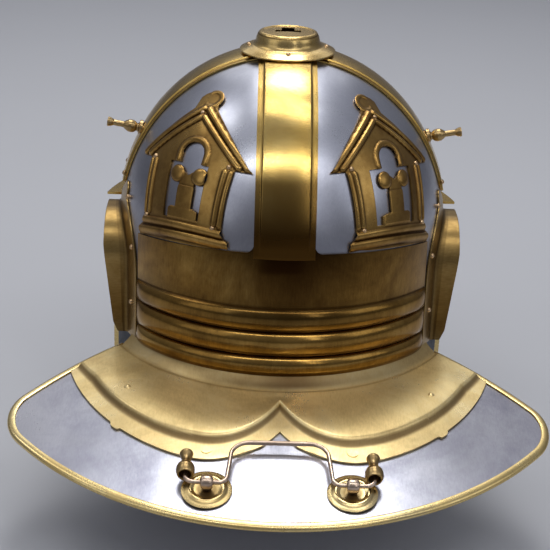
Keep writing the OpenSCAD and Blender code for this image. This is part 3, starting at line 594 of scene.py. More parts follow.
def nape_band_piece():
    """Band with three hollow ribs round the nape, rising to the crown band behind."""
    a = np.linspace(-band_end, band_end, 300)[None, :]
    bow = (a / band_end) ** 2

    def level(middle, end):
        """Height round the band, from its middle to its ends."""
        return middle + (end - middle) * bow

    x = np.abs((semi_x * 0.985) * np.sin(np.radians(a)))
    over = np.clip((band_half + corner_fillet - x) / corner_fillet, 0, 1)
    corner = corner_fillet * (1 - np.sqrt(1 - over ** 2))
    top = np.where(x < band_half - 1, band_top[0] - 2.5, level(*band_top) + corner)
    first = level(*rib_edges[0])
    courses = [(top + (first - top) * t, 0, 0.25 * smooth((t - 0.75) / 0.25))
               for t in np.linspace(0, 1, 26)[:-1]]
    near_end = np.clip((band_end - np.abs(a)) / 8, 0, 1)
    taper = np.sqrt(1 - (1 - near_end) ** 2)
    for upper, lower in zip(rib_edges, rib_edges[1:]):
        for share in np.linspace(0, 1, 23)[:-1]:
            middle_end = [u + (v - u) * share for u, v in zip(upper, lower)]
            bulge = (1 - abs(2 * share - 1) ** 2.3) ** 0.62
            # Painted shade in the grooves between the ribs and towards the rib ends.
            groove = 0.75 * (1 - smooth(bulge / 0.55)) + 0.25 * (1 - taper)
            courses.append((level(*middle_end), rib_h * bulge * taper, groove))
    # Painted shade along the lower edge, where the band meets the guard.
    courses.append((level(*rib_edges[-1]), 0, 0.75))
    z, h, grime_and_shade = (np.concatenate([np.broadcast_to(c[i], a.shape) for c in courses]) for i in range(3))
    # Painted shade: the band darkens in the middle under the strap and towards the top.
    shaded_zone = 0.75 * np.exp(-((a - 2) / 24) ** 2) * smooth((z + 14) / 14) + 0.2 * smooth((z - 4) / 30)
    shaded_zone = np.maximum(shaded_zone, np.exp(-(a / 13) ** 4) * smooth((z - 14) / 14))
    band = grid_piece("ribbed_nape_band", on_bowl(a, z, nape_g + h), AGED_BRASS, grime_and_shade=grime_and_shade, painted_shade=shaded_zone)
    thicken(band, brass_t, 0.2)
    place(band, "root", "aged_brass", "nape_band")


nape_band_piece()

band_edge = 3.2
middle_half = band_half - band_edge
BAND_COLUMNS = np.concatenate([
    np.linspace(-band_half, -middle_half - 0.3, 4), np.linspace(-middle_half, -middle_half + 0.9, 5),
    np.linspace(-middle_half + 1.4, middle_half - 1.4, 21),
    np.linspace(middle_half - 0.9, middle_half, 5), np.linspace(middle_half + 0.3, band_half, 4),
])


def band_raise_at(c):
    """Height of the raised middle above the edge strips, at a place across the band."""
    inside = middle_half - np.abs(c)
    crown = 0.25 * (1 - (c / band_half) ** 2)
    return (band_raise - gap - brass_t - 0.25) * smooth(inside / 0.9) + crown * (inside > 0.45)


def band_step_shade(c):
    """Painted shade along the step at the raised middle, and a darker tone on the edge strips."""
    inside = middle_half - np.abs(c)
    return 0.45 * np.exp(-(inside / 0.8) ** 2) + 0.22 * (inside < 0)


def fore_aft_piece():
    """Band from the nape over the crown to the brow, lying flat over the nape band at its rear end."""
    low_rear, low_front = 33.5, 30
    across = BAND_COLUMNS
    s = np.linspace(0, 1, 220)[:, None]
    g = gap + brass_t
    k = np.sqrt(1 - (across / (semi_x + g)) ** 2)
    rear = np.arcsin((low_rear - spring_z) / (k * (dome_h + g)))
    front = np.arcsin((low_front - spring_z) / (k * (dome_h + g)))
    t = rear + s * (np.pi - rear - front)
    z = spring_z + dome_h * k * np.sin(t)
    merge = smooth((z - low_rear - 1) / 15) + (s > 0.5)
    over_band = smooth((46 - z) / 6) * smooth((z - low_rear) / 1.5) * (s < 0.5)
    g = g + band_raise_at(across) * np.clip(merge, 0, 1) + 0.28 * over_band
    k = np.sqrt(1 - (across / (semi_x + g)) ** 2)
    x, y, z = across + 0 * g, -(semi_y + g) * k * np.cos(t), spring_z + (dome_h + g) * k * np.sin(t)
    # Painted shade: the rear part darkens towards its lower end, most where it meets the nape band, and under the
    # boss.
    shaded_zone = (0.75 * smooth((84 - z) / 9) + 0.25 * smooth((72 - z) / 30)) * (y < 0)
    shaded_and_grimed = band_step_shade(across) * (1 - 0.7 * shaded_zone) + 0.6 * smooth((52 - z) / 14) * (y < 0)
    shade_under_boss = smooth((17 - np.hypot(x, y)) / 2)
    band = grid_piece("fore_and_aft_band", np.stack([x, y, z], -1), BRASS,
                      grime_and_shade=np.maximum(shaded_and_grimed, shade_under_boss), painted_shade=shaded_zone)
    thicken(band, brass_t - 0.1, 0.15)
    place(band, "root", "bright_brass", "fore_aft_band")


fore_aft_piece()


def cross_band_piece(node, side):
    """Half band from the fore-and-aft band down one side."""
    y = BAND_COLUMNS + np.zeros((120, 1))
    g = gap + brass_t + band_raise_at(y)
    k = np.sqrt(1 - (y / (semi_y + g)) ** 2)
    low = np.arcsin((corners(node)[0].z - spring_z) / (k * (dome_h + g)))
    high = np.arccos((band_half + 0.4) / (k * (semi_x + g)))
    t = low + np.linspace(0, 1, 120)[:, None] * (high - low)
    x, z = side * (semi_x + g) * k * np.cos(t), spring_z + (dome_h + g) * k * np.sin(t)
    # Painted shade along the step at the raised middle.
    band = grid_piece(node, np.stack([x, y, z], -1), BRASS, grime_and_shade=band_step_shade(y))
    thicken(band, brass_t - 0.1, 0.15)
    place(band, "root", "bright_brass", node)


for hand, side in HANDS:
    cross_band_piece(f"cross_band_{hand}", side)


# ------------ pierced plaques

plaque_turn, plaque_lean = math.radians(38), math.radians(30)
plaque_centre = np.array((62, -78, 62))
relief_step = 0.55
eave_s, eave_t = 41.5, 43
# The right and left plaques are cut by hand and differ a little: (right, left)
plaque_shift, plaque_scale = (-4.5, -7.6), (0.93, 0.99)
altar_at, altar_in, arch_at = (2.8, -3.4), (13.4, 11.0), (1.8, -2.7)
door_out, base_drop, base_sag = (18.8, 12.5), (3.3, 2.1), 1.4
arch_t, ball_s, ball_t, ball_r = 46.6, 8.3, 33.8, 5.3
finial_at, finial_edge = (-0.6, 83.7), 6.3


def lean(p, k):
    """Upright drawing of the shrine (s across, t up) to leaning plaque k."""
    s, t = p[..., 0], p[..., 1]
    across = plaque_shift[k] + 0.145 * t + plaque_scale[k] * s * (1 + 0.0025 * (t - 6))
    return np.stack([across, -25.3 + t - 0.055 * s], -1)


def plaque_spot(p, g, k):
    """Points g outside the bowl under places of plaque k's drawing."""
    q = lean(p, k)
    sine, cosine = math.sin(plaque_turn), math.cos(plaque_turn)
    flat = math.cos(plaque_lean)
    n = np.array((sine * flat, -cosine * flat, math.sin(plaque_lean)))
    e1 = np.array((cosine, sine, 0))
    e2 = np.cross(n, e1)
    dome_centre = np.array((0, 0, spring_z))
    o = plaque_centre + q[:, :1] * e1 + q[:, 1:] * e2 - dome_centre
    d = 1 / np.stack([semi_x + g, semi_y + g, dome_h + g], -1)
    start, step = o * d, n * d
    a, b = (step * step).sum(1), (start * step).sum(1)
    t = (-b + np.sqrt(b * b - a * ((start * start).sum(1) - 1))) / a
    return o + t[:, None] * n + dome_centre


def shrine_outline(k):
    """Outer edge of the shrine: base, columns, eaves and the round finial on the roof."""
    right = [(37.5, -4.6), (37, 0.5), (33.5, 2.2), (31.8, 5), (31.4, 24), (31.5, 42), (eave_s, eave_t),
             (9, 76), (8.5, 80), (8.2, 84), (6.3, 86.5), (2, 89.4)]
    left = [(-6.2, 77.6), (-eave_s, eave_t), (-31.5, 42), (-31.4, 24), (-31.8, 5), (-33.5, 2.2),
            (-37, 0.5), (-37.5, -base_drop[k] - 0.6), (-30, -3.9)]
    foot = [(s, -4.25 - base_sag * (1 - ((s - 3.75) / 33.75) ** 2)) for s in np.linspace(-22, 30, 9)]
    return right + arc_points(finial_at, finial_edge, 78, 212, 20) + left + foot


def shrine_opening(k):
    """The doorway with its arch, round the altar that stands in it."""
    c, out, arch = altar_at[k], door_out[k], arch_at[k]
    right_ball = arc_points((c + ball_s, ball_t), ball_r, -125, 155, 24)
    left_ball = [(2 * c - s, t) for s, t in right_ball]
    right_side = [(c + 5.9, 25), (c + 6, 14.5), (c + 9.4, 14.5), (c + 12, 13), (c + 12, 8), (out, 8),
                  (out, 41), (arch + 7.6, 41)]
    left_side = [(arch - 7.6, 41), (-15.7, 41), (-15.7, 8), (c - altar_in[k], 8), (c - altar_in[k], 13),
                 (c - 7.6, 14.5), (c - 6, 14.5), (c - 5.9, 25)]
    crown = arc_points((arch, arch_t), 7.6, 0, 180, 20)
    return left_ball + [(c, 33.4)] + right_ball[::-1] + right_side + crown + left_side


def inside_loop(points, loop):
    """Which points of the plane lie inside a closed loop."""
    x, y = points.T
    inside = np.zeros(len(points), bool)
    for (x1, y1), (x2, y2) in sides(loop):
        if y1 != y2:
            crosses = (y1 > y) != (y2 > y)
            inside ^= crosses & (x < (x2 - x1) * (y - y1) / (y2 - y1) + x1)
    return inside


def segment_distance(p, a, b):
    """Distance of places p from the line between a and b."""
    a, b = np.array(a, float), np.array(b, float)
    t = np.clip(((p - a) @ (b - a)) / max(1e-9, (b - a) @ (b - a)), 0, 1)
    return np.linalg.norm(p - a - t[:, None] * (b - a), axis=1)


def sides(loop):
    """Pairs of neighbouring places round a closed loop."""
    return zip(loop, loop[1:] + loop[:1])


def loop_distance(p, loop):
    return np.min([segment_distance(p, a, b) for a, b in sides(loop)], axis=0)


def filled(loop, step):
    """Points along a loop, no further apart than step."""
    out = []
    for a, b in sides(loop):
        count = max(1, math.ceil(math.dist(a, b) / step))
        out += [[u + (v - u) * i / count for u, v in zip(a, b)] for i in range(count)]
    return out


def dome(share, height):
    """Round profile: the full height at share 0 and none from share 1 on."""
    return height * np.sqrt(np.maximum(0, 1 - share ** 2))


def bar(p, a, b, half, height):
    """Half-round bar from a to b."""
    return dome(segment_distance(p, a, b) / half, height)


def shrine_relief(p, k):
    """Embossed height over places of plaque k's drawing."""
    c, arch = altar_at[k], arch_at[k]
    s, t = p[:, 0], p[:, 1]
    aside = np.abs(s - c)
    arch_ring = np.abs(np.hypot(s - arch, t - arch_t) - 9.8) / 1.8
    finial_ring = np.abs(np.hypot(s - finial_at[0], t - finial_at[1]) - 5.2) / 1.4
    parts = [
        bar(p, (-35.2, -1.0), (35.4, -1.8), 2.4, 2.0),
        bar(p, (-31.6, 4.0), (31.6, 4.0), 2.2, 1.5),
        np.where(t > arch_t, dome(arch_ring, 1.1), 0),
        0.6 * smooth((12.6 - aside) / 1.2) * smooth((t - 7.4) / 0.6) * smooth((14.8 - t) / 0.8),
        0.5 * smooth(6.8 - aside) * smooth((27.5 - t) / 0.5) * (t > 8),
        0.25 * smooth(7.6 - aside) * (t > 27.5) * (t < 36),
        dome(finial_ring, 0.6) * (t > 78) * (s < 3),
    ]
    for side in (-1, 1):
        jamb = arch + side * 9.8
        parts += [
            bar(p, (side * 1.9, 76.4), (side * 38.6, 44.8), 2.0, 1.9),
            bar(p, (side * 1.2, 70.8), (side * 33.4, 44.3), 1.9, 1.8),
            bar(p, (side * 26.4, 9), (side * 26.4, 40), 1.5, 1.2),
            bar(p, (side * 30, 9), (side * 30, 40), 1.5, 1.2),
            dome(np.hypot(s - c - side * ball_s, t - ball_t) / ball_r, 1.6),
            bar(p, (jamb, 42.6), (jamb, arch_t), 1.8, 1.1),
        ]
    return np.max(parts, axis=0)


def shrine_mesh(k):
    """Fine triangles of pierced plaque k in its own drawing, with heights and painted shade in the hollows of the
    relief.
    """
    outer, inner = shrine_outline(k), shrine_opening(k)
    outline, opening = filled(outer, relief_step), filled(inner, relief_step)
    s, t = np.meshgrid(np.arange(-42, 42, relief_step), np.arange(-5, 92, relief_step))
    spots = np.stack([s.ravel(), t.ravel()], -1)
    spots = spots[inside_loop(spots, outer) & ~inside_loop(spots, inner)]
    spots = spots[np.minimum(loop_distance(spots, outer), loop_distance(spots, inner)) > 0.3]
    points = [Vector(p) for p in outline + opening + spots.tolist()]
    edges = [(i, (i + 1) % len(outline)) for i in range(len(outline))]
    edges += [(len(outline) + i, len(outline) + (i + 1) % len(opening)) for i in range(len(opening))]
    flat, _, faces = delaunay_2d_cdt(points, edges, [], 0, 1e-4)[:3]
    flat, faces = np.array([tuple(p) for p in flat]), np.array(faces)
    middle = flat[faces].mean(axis=1)
    faces = faces[inside_loop(middle, outer) & ~inside_loop(middle, inner)]
    height = shrine_relief(flat, k)
    # Painted shade: points lower than their neighbours darken, as hollows of the relief.
    hollow = np.zeros(len(flat))
    for d in (0.9, 1.7):
        around = [shrine_relief(flat + v, k) for v in ((d, 0), (-d, 0), (0, d), (0, -d))]
        hollow += np.clip(np.mean(around, axis=0) - height, 0, 1) * 1.1
    return flat, faces, height, np.clip(hollow, 0, 0.95)


SHRINES = [shrine_mesh(0), shrine_mesh(1)]


def plaque_piece(name, k, flip_x, flip_y, node):
    """Plaque k, drawn for the rear right, mirrored to its own side and end of the bowl."""
    flat, faces, height, grime_and_shade = SHRINES[k]
    points = plaque_spot(flat, gap + brass_t + height, k) * (flip_x, flip_y, 1)
    turned = faces if flip_x * flip_y > 0 else faces[:, ::-1]
    plaque = make_mesh(name, points, turned.tolist(), PLAQUE_BRASS, grime_and_shade)
    thicken(plaque, brass_t, 0.22)
    place(plaque, "root", "aged_brass", node)


for fore, flip_y in (("rear", 1), ("front", -1)):
    for k, (hand, side) in enumerate(HANDS):
        plaque_piece(f"shrine_plaque_{fore}_{hand}", k, side, flip_y, f"plaque_{fore}_{hand}")


# ------------ ear guards

ear_right = corners("ear_guard_right")[1].x
leaf_rear, leaf_front = 16, 9
wall_half = 0.65
ear_low = -60
ear_bend = 2.2
lobe_at, lobe_r = (-27.0, 42.5), 6.8


def rim_level(y):
    """The bowl's lower edge beside the nape, over places along the side."""
    return nape_z - nape_fall * (1 + y / semi_y) / (1 - math.cos(math.radians(guard_angle)))


def ear_walk():
    """Spots round the ear opening and the way outward from it at each, in the YZ plane."""
    spots = [(ear_rear, z, -1, 0) for z in np.linspace(ear_low, ear_spring, 40)[:-1]]
    for centre_y, start, end in ear_arcs:
        for out in arc_points((0, 0), 1, start, end, 40):
            spots.append((centre_y + ear_r * out[0], ear_spring + ear_r * out[1], *out))
    return np.array(spots + [(ear_front, 1, 1, 0)])


def leaf_width(spot, out):
    """How far the leaf reaches from the opening: wide behind, narrow in front, pointed on top."""
    blend = smooth((spot[:, 0] + 19) / 10)
    width = leaf_rear + (leaf_front - leaf_rear) * blend
    to_lobe = lobe_at - spot
    along = (to_lobe * out).sum(1)
    aside = np.abs(to_lobe[:, 0] * out[:, 1] - to_lobe[:, 1] * out[:, 0])
    tip = along + np.sqrt(np.maximum(0, lobe_r ** 2 - aside ** 2))
    return np.maximum(width, np.where(aside < lobe_r, tip, 0))


def side_out(y, z, g):
    """Distance of the bowl's side from its middle plane, g outside it."""
    return (semi_x + g) * np.sqrt(np.maximum(1e-6, plan_share(z, g) ** 2 - (y / (semi_y + g)) ** 2))


def ear_guard(name, side, node):
    """Ear guard: a leaf on the bowl, a bend and a wall that stands out round the ear opening."""
    walk = ear_walk()
    spot, out = walk[:, :2], walk[:, 2:]
    width = leaf_width(spot, out)
    straight = out[:, 0] < -0.99
    root = wall_half + ear_bend
    rows = [("leaf", root + far * (width - root), 0) for far in np.linspace(1, 0, 15)]
    rows += [("bend", wall_half + ear_bend * (1 - math.sin(turn)), ear_bend * (1 - math.cos(turn)))
             for turn in np.radians(np.linspace(15, 90, 6))]
    rows += [("wall", wall_half, far) for far in np.linspace(0.06, 1, 16)]
    # Painted shade in the bend, at the foot of the wall and towards the bottom of the wall.
    points, grime_and_shade = [], []
    for kind, g, share in rows:
        yz = spot + out * np.broadcast_to(g, len(out))[:, None]
        low = rim_level(yz[:, 0]) + 1.2
        climb = (spot[:, 1] - ear_low) / (ear_spring - ear_low)
        z = np.where(straight, low + climb * (ear_spring - low), yz[:, 1])
        z = np.where(yz[:, 0] > 0, np.maximum(z, 1), z)
        base = side_out(yz[:, 0], z, gap + brass_t / 2)
        if kind == "wall":
            reach = np.interp(z, (-52, -47, -40, 12, 60), (-15.4, -9.4, -6.4, -0.4, -0.4)) + ear_right
            x = base + ear_bend + share * (reach - base - ear_bend)
            curl = 0.9 * max(0, share - 0.9)
            yz = yz + out * curl
            grime_and_shade.append(0.1 + 0.3 * (share < 0.2) + 0.35 * smooth((2 - z) / 30))
        else:
            x = base + share
            grime_and_shade.append(np.full(len(z), 0.55 if kind == "bend" else 0.08))
        points.append(np.stack([side * x, yz[:, 0], z], -1))
    piece = closed_piece(name, points, grid_faces(len(rows), len(walk)), EAR_BRASS, grime_and_shade)
    thicken(piece, brass_t, 0.3, offset=0)
    place(piece, "root", "aged_brass", node)


for hand, side in HANDS:
    ear_guard(f"ear_guard_sheet_{hand}", side, f"ear_guard_{hand}")


# ------------ crest boss

def rounded(profile, radius, steps=5):
    """A closed profile of (r, z) places with its corners rounded."""
    out, count = [], len(profile)
    for i, corner in enumerate(profile):
        c, a, b = (np.array(v, float) for v in (corner, profile[i - 1], profile[(i + 1) % count]))
        if c[0] < 0.01:
            out.append(c)
            continue
        to_a, to_b = a - c, b - c
        cut = min(radius, 0.45 * np.linalg.norm(to_a), 0.45 * np.linalg.norm(to_b))
        start, end = c + unit(to_a) * cut, c + unit(to_b) * cut
        for t in np.linspace(0, 1, steps):
            out.append(start * (1 - t) ** 2 + 2 * c * t * (1 - t) + end * t * t)
    return out


def lathe(name, profile, matrix, material, steps=72, grime_and_shade=None):
    """A closed (r, z) profile turned about the local Z axis, set in place by a matrix."""
    angles = np.linspace(0, 2 * math.pi, steps, endpoint=False)
    points, marks, rings = [], [], []
    for r, z in profile:
        turn = [0.0] if r < 0.01 else angles
        rings.append([len(points) + i for i in range(len(turn))])
        points += [matrix @ Vector((r * math.cos(v), r * math.sin(v), z)) for v in turn]
        marks += [grime_and_shade(r, z) if grime_and_shade else 0.0] * len(turn)
    faces = []
    for a, b in sides(rings):
        if len(a) == 1 and len(b) == 1:
            continue
        for i in range(steps):
            k = (i + 1) % steps
            quad = [a[i % len(a)], a[k % len(a)], b[k % len(b)], b[i % len(b)]]
            faces.append([v for j, v in enumerate(quad) if v != quad[j - 1]])
    return closed_piece(name, points, faces, material, marks)


def prism(name, outline, low, high):
    """A plain upright prism over an outline in plan."""
    count = len(outline)
    points = [(x, y, z) for z in (low, high) for x, y in outline]
    faces = [range(count)[::-1], range(count, 2 * count)]
    faces += [(i, (i + 1) % count, count + (i + 1) % count, count + i) for i in range(count)]
    return closed_piece(name, points, faces, AGED_BRASS)


def carve(piece, cutter):
    """Cut a shape out of a piece with an exact boolean and keep the result as its mesh."""
    cut = piece.modifiers.new("cut", "BOOLEAN")
    cut.operation, cut.solver, cut.object = "DIFFERENCE", "EXACT", cutter
    graph = bpy.context.evaluated_depsgraph_get()
    mesh = bpy.data.meshes.new_from_object(piece.evaluated_get(graph))
    piece.modifiers.clear()
    piece.data = mesh
    bpy.data.objects.remove(cutter, do_unlink=True)


boss_z = boss_low.z + 0.9
boss_h = boss_high.z - boss_z
boss_out = boss_high.x
boss_profile = rounded([
    (15, boss_h - 1.6), (17.6, boss_h - 3.4), (18.4, 4.6), (21, 2.4), (boss_out - 0.4, -0.9),
    (boss_out, 0.1), (26, 2.1), (22, 3.4), (20.4, 5.2), (19.6, boss_h - 3.4), (18.2, boss_h - 0.7),
    (16, boss_h)
], 1.1)
boss_profile = [(0, boss_h - 1.6), *boss_profile, (0, boss_h)]


def boss_shade(r, z):
    """Painted shade inside the cup and in the hollow round its foot."""
    inside = r < 18.8 and z < boss_h - 1.2
    return 1.0 if inside else 0.4 * smooth((22.5 - r) / 2) * smooth((7 - z) / 4)


boss = lathe("crest_boss_cup", boss_profile, Matrix.Translation((0, 0, boss_z)), BOSS_BRASS, 96, boss_shade)
slot = [(-8, -2.6), (8, -2.6), (8, 2.6), (4, 2.6), (4, 10), (-4, 10), (-4, 2.6), (-8, 2.6)]
carve(boss, prism("slot", slot, boss_z + boss_h - 3, boss_high.z + 2))
soften(boss, 0.25)
place(boss, "root", "bright_brass", "crest_boss")


# ------------ handle fittings

eye_x = sum(v.x for v in corners("handle_washer_right")) / 2
eye_h = 6.3
eye_r = 4.0
guard_tilt, handle_droop = 15.2, -1
swing = next(j for j in frame["joints"] if j["name"] == "handle_swing")
swing_at = Vector(swing["pos_m"]) / MM
HANDLE_LEVEL = Matrix.Translation(swing_at) @ Matrix.Rotation(math.radians(guard_tilt), 4, "X")
ON_GUARD = HANDLE_LEVEL @ Matrix.Translation((0, 0, -eye_h))
IN_HANDLE = HANDLE_LEVEL @ Matrix.Rotation(math.radians(handle_droop), 4, "X")
wire_r = 1.25


def pipe(name, path, sizes, matrix, material, around=20, power=2, grime_and_shade=None):
    """A tube along a path, with (half width level, half height) at each place; power 4 squares it."""
    path, sizes = np.asarray(path, float), np.asarray(sizes, float)
    ahead = unit(np.gradient(path, axis=0))
    across_path = unit(np.cross(ahead, (0, 0, 1)))
    up = np.cross(across_path, ahead)
    v = np.linspace(0, 2 * math.pi, around, endpoint=False)
    wide, high = (np.sign(w) * np.abs(w) ** (2 / power) for w in (np.cos(v), np.sin(v)))
    points = path[:, None] + across_path[:, None] * (wide[:, None] * sizes[:, None, :1])
    points = points + up[:, None] * (high[:, None] * sizes[:, None, 1:])
    points = [matrix @ Vector(p) for p in points.reshape(-1, 3)]
    faces = grid_faces(len(path), around, wrap_columns=True)
    faces += [range(around), range((len(path) - 1) * around, len(path) * around)]
    marks = None if grime_and_shade is None else np.repeat([grime_and_shade(p) for p in path], around)
    return closed_piece(name, points, faces, material, marks)


def bend_points(centre, r, start, end, count=14):
    """Level arc in the handle's own plane."""
    return [(x, y, 0) for x, y in arc_points(centre, r, start, end, count)]


leg_x, leg_top, finial_x, bend_r, shoulder_r, grip_y = 29, 27.4, 52, 5, 11, 32.6
leg_drop = grip_y - shoulder_r - bend_r
right_half = [(x, grip_y, 0) for x in np.linspace(0, 15, 9)]
right_half += bend_points((leg_top - shoulder_r, grip_y - shoulder_r), shoulder_r, 90, 8, 18)
right_half += [(leg_top + (leg_x - leg_top) * share, grip_y - shoulder_r - leg_drop * share, 0)
               for share in (0.2, 0.45, 0.7)]
right_half += bend_points((leg_x + bend_r, bend_r), bend_r, 180, 270)
right_half += [(x, 0, 0) for x in (36, 38.5, 41.5, 44.5)]
right_half += bend_points((finial_x - bend_r, bend_r), bend_r, 270, 360)
right_half += [(finial_x, y, 0) for y in (6.5, 8)]
left_half = [(-x, y, 0) for x, y, z in right_half[:0:-1]]
handle_path = left_half + right_half
handle_sizes = [(wire_r + 0.12 * smooth((20 - abs(x)) / 4),) * 2 for x, y, z in handle_path]


def wire_shade(p):
    """Painted shade where the wire runs through its two eyes."""
    return 0.4 * smooth((3 - p[1]) / 2) * smooth((5 - abs(abs(p[0]) - 40)) / 2)


handle = pipe("carrying_handle_wire", handle_path, handle_sizes, IN_HANDLE, WIRE_BRASS, 24, grime_and_shade=wire_shade)
place(handle, "handle", "turned_brass", "handle_bar")

finial_profile = [
    (0, 4.2), (1.6, 4.0), (3.1, 2.2), (3.6, 0.3), (4.3, 0.15), (4.9, 1.4), (5.25, 3.0), (5.3, 3.7),
    (4.95, 4.05), (5.05, 4.5), (5.2, 5.4), (4.7, 7.1), (3.7, 8.7), (2.9, 10.2), (2.6, 11.6), (2.7, 13.2),
    (3.2, 14.9), (3.75, 16.2), (3.85, 17.2), (3.4, 18.05), (2.9, 18.1), (2.4, 17.4), (1.9, 15.6), (0, 15.3)
]
finial_profile = rounded(finial_profile, 0.5, 4)


def finial_shade(r, z):
    """Painted shade inside the cup and the hollow end, on the neck and in the groove of the rim."""
    inside = (z < 4.3 and r < 3.5) or (z > 15 and r < 2.6)
    return 0.9 if inside else 0.5 * smooth(1 - abs(z - 10.5) / 3.5) + 0.3 * (abs(z - 4.1) < 0.2)


for hand, side in HANDS:
    stand_up = IN_HANDLE @ Matrix.Translation((side * finial_x, bend_r, 0))
    stand_up = stand_up @ Matrix.Rotation(-math.pi / 2, 4, "X")
    finial = lathe(f"handle_finial_{hand}_turned", finial_profile, stand_up, TURNED_BRASS, 56, finial_shade)
    place(finial, "handle", "turned_brass", f"handle_finial_{hand}")

washer_profile = rounded([
    (2.1, 0.25), (4, 0.25), (7.5, 0.5), (9.3, 1.3), (11, 0.55), (14, 0.12), (14.2, 0.85), (11.4, 1.35),
    (9.6, 2.25), (8.6, 2.15), (7.3, 1.35), (4, 1.0), (2.1, 1.0)
], 0.7)


def washer_shade(r, _):
    """Painted shade round the eye and in the ring round the raised rim."""
    return 0.75 * smooth((7.5 - r) / 2) + 0.45 * smooth(1 - abs(r - 11.2) / 1.1)


def eye_loop(name, x, material):
    """Strap loop round the wire, drawn in to a neck that passes through the washer."""
    places = []
    inner = wire_r + 0.12
    for v in np.linspace(0, 2 * math.pi, 56, endpoint=False):
        drop, aside = -math.cos(v), abs(math.sin(v))
        neck = min(5.2 / drop, 2.0 / max(1e-6, aside)) if drop > 0 else 0
        r = max(eye_r, neck)
        half = 3.6 - smooth((r - eye_r) / 1.2) - 0.25 * (1 - math.cos(v)) / 2
        near = [(inner, half - 0.2), (inner + 0.3, half), (r - 1.5, half), (r - 0.5, half - 0.5),
                (r, half - 1.6)]
        section = [(g, -w) for g, w in near] + near[::-1]
        places += [(x + w, g * math.sin(v), eye_h + g * math.cos(v)) for g, w in section]
    points = [ON_GUARD @ Vector(p) for p in places]
    # Painted shade on the lower part of the loop, towards the washer.
    grime_and_shade = [0.55 * smooth((eye_h + 0.5 - z) / 3.5) for _, _, z in places]
    faces = grid_faces(56, 10, wrap_rows=True, wrap_columns=True)
    return closed_piece(name, points, faces, material, grime_and_shade)


def join(name, *things):
    """One mesh from several pieces of the same finish."""
    bpy.ops.object.select_all(action="DESELECT")
    for thing in things:
        thing.select_set(True)
    bpy.context.view_layer.objects.active = things[0]
    bpy.ops.object.join()
    things[0].name = name
    return things[0]


stem_profile = rounded([(0, -5.0), (1.85, -5.0), (1.85, 1.5), (0, 1.5)], 0.4)
leg_run = [(0, -4.2), (2, -4.3), (5, -4.25), (8, -4.15), (8.8, -4.15)]
leg_sizes = [(1.2, 0.85), (1.2, 0.85), (1.15, 0.8), (1.0, 0.7), (0.6, 0.5)]
for hand, side in HANDS:
    x = side * eye_x
    at = ON_GUARD @ Matrix.Translation((x, 0, 0))
    washer = lathe(f"handle_washer_{hand}_dished", washer_profile, at, WASHER_BRASS, 80, washer_shade)
    place(washer, "root", "bright_brass", f"handle_washer_{hand}")
    loop = eye_loop("loop", x, WIRE_BRASS)
    stem = lathe("stem", stem_profile, at, WIRE_BRASS, 32)
    legs = [pipe("leg", [(way * x, 0, z) for x, z in leg_run], leg_sizes, at, WIRE_BRASS, power=4)
            for way in (-1, 1)]
    pin = join(f"split_pin_{hand}_bent", loop, stem, *legs)
    place(pin, "root", "turned_brass", f"split_pin_{hand}")


# ------------ lining

lining_out, lining_t, lining_top = -steel_t - 0.9, 3.0, 112


def lining_piece():
    """Quilted leather lining in eight panels, parted by slits over the crown."""
    clear = 6.2
    sheet = bowl_grid(lining_out - 0.1, clear, clear, lining_top - 0.5)
    rows, columns = sheet.shape[:2]
    panel = columns // 8
    faces = [f for f in grid_faces(rows, columns, wrap_columns=True)
             if min(f) // columns <= 16 or min(f) % columns % panel != panel // 2]
    climb = np.linspace(0, 1, rows)[:, None] + np.zeros(columns)
    wave = 0.6 * np.sin(np.linspace(0, 2 * math.pi * 24, columns, endpoint=False)) * smooth(climb * 4)
    inward = unit(sheet - (0, 0, 10)) * (0.6 + wave)[..., None] * 0.6
    liner = closed_piece("leather_lining", sheet - inward, faces, LEATHER, 0.3 * (1 - climb))
    thicken(liner, lining_t - 0.8, 0.8)
    place(liner, "root", "leather", "liner")


lining_piece()

pad_low = corners("liner_crown_pad")[0].z
pad_r = 29.6


def pad_level(r):
    """Underside of the bowl over the crown pad, a little inside it."""
    top = dome_h + lining_out - 1.4
    return spring_z + top * math.sqrt(1 - (r / (semi_x + lining_out - 1.4)) ** 2)


pad_profile = [(r, pad_low + rise) for r, rise in
               ((0, 1.6), (8, 1.2), (18, 0.5), (26, 0.1), (pad_r - 0.8, 0.3), (pad_r, 1.2))]
pad_profile += [(r, pad_level(r)) for r in (pad_r, 27, 22, 15, 8)] + [(0, pad_level(0))]
pad = lathe("leather_crown_pad", pad_profile, Matrix.Identity(4), LEATHER,
            grime_and_shade=lambda r, z: 0.5 * (abs(r - 26) < 1.5))
place(pad, "root", "leather", "liner_crown_pad")


# ------------ finish of the kept pieces

slot_finish = {"steel": STEEL, "cheek_steel": DARK_STEEL, "pin_steel": DARK_STEEL, "bright_brass": BRASS,
               "aged_brass": AGED_BRASS, "turned_brass": TURNED_BRASS, "rivet_brass": RIVET_BRASS,
               "leather": LEATHER}
node_slot = {part["node"]: part["material_slot"] for part in frame["record"]["subparts"]}
node_finish = {"neck_plate_rivets": PLATE_BRASS, "cheek_binding_left": EDGE_BRASS,
               "cheek_binding_right": EDGE_BRASS}
for node_name, kept in frame["nodes"].items():
    for material_slot in kept.material_slots:
        material_slot.material = node_finish.get(node_name, slot_finish[node_slot[node_name]])


# ------------ studio

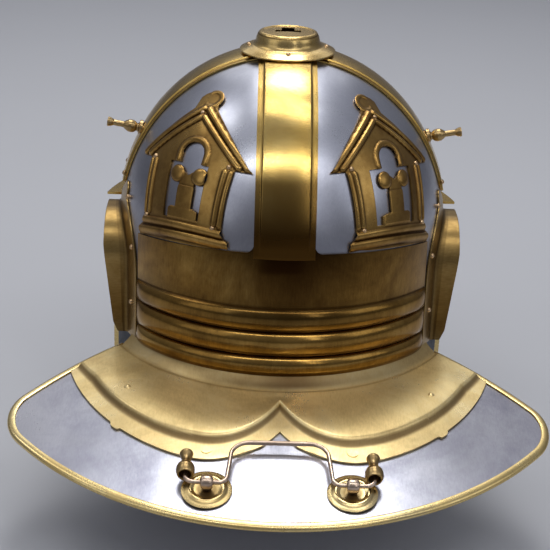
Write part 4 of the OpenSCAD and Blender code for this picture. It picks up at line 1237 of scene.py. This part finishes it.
def area_light(name, place_at, aim, size, power, colour=(1, 1, 1)):
    """Rectangular soft light at a place, aimed at a point, both in metres."""
    data = bpy.data.lights.new(name, "AREA")
    data.shape = "RECTANGLE"
    data.size, data.size_y = size
    data.energy = power
    data.color = colour
    lamp = bpy.data.objects.new(name, data)
    turn = (Vector(place_at) - Vector(aim)).to_track_quat("Z", "Y")
    lamp.matrix_world = Matrix.Translation(place_at) @ turn.to_matrix().to_4x4()
    scene.collection.objects.link(lamp)


helmet_at = (0, 0, 0)
cool_white = (0.92, 0.95, 1)
area_light("overhead_softbox", (0.02, 0.75, 1.45), helmet_at, (0.6, 0.5), 8)
area_light("top_softbox", (0.05, 0.2, 1.6), helmet_at, (0.9, 0.4), 4)
area_light("strip_light", (0, -0.85, 1.45), helmet_at, (2.0, 0.2), 6)
area_light("back_softbox", (0, 1.3, 1.05), helmet_at, (1.4, 0.6), 2.2)
area_light("upper_left_softbox", (-0.95, 0.35, 1.3), helmet_at, (0.5, 0.5), 2)
area_light("window", (0.62, -1.25, 1.25), (0, 0, 0.05), (0.16, 1.6), 2.4, (0.95, 0.97, 1))
area_light("left_fill", (-1.7, -1.1, 1.1), helmet_at, (1.4, 1.4), 4, cool_white)
area_light("right_fill", (1.9, -0.7, 1.2), helmet_at, (1.2, 1.2), 4, cool_white)

world = bpy.data.worlds.new("studio")
world.use_nodes = True
scene.world = world
scene.view_settings.view_transform = "Standard"
sky = world.node_tree
height = sky.nodes.new("ShaderNodeSeparateXYZ")
fade = sky.nodes.new("ShaderNodeValToRGB")
sky.links.new(sky.nodes.new("ShaderNodeTexCoord").outputs["Generated"], height.inputs[0])
sky.links.new(height.outputs["Z"], fade.inputs[0])
sky.links.new(fade.outputs[0], sky.nodes["Background"].inputs["Color"])
horizon, zenith = fade.color_ramp.elements
horizon.color = (0.125, 0.128, 0.138, 1)
zenith.position = 0.9
zenith.color = (0.30, 0.31, 0.35, 1)

floor_z = cad_box[0].z / MM - 0.5
floor_half = 12000
floor_sheet = [(x * floor_half, y * floor_half, floor_z) for x, y in ((-1, -1), (1, -1), (1, 1), (-1, 1))]
floor = make_mesh("floor", floor_sheet, [(0, 1, 2, 3)], FLOOR)
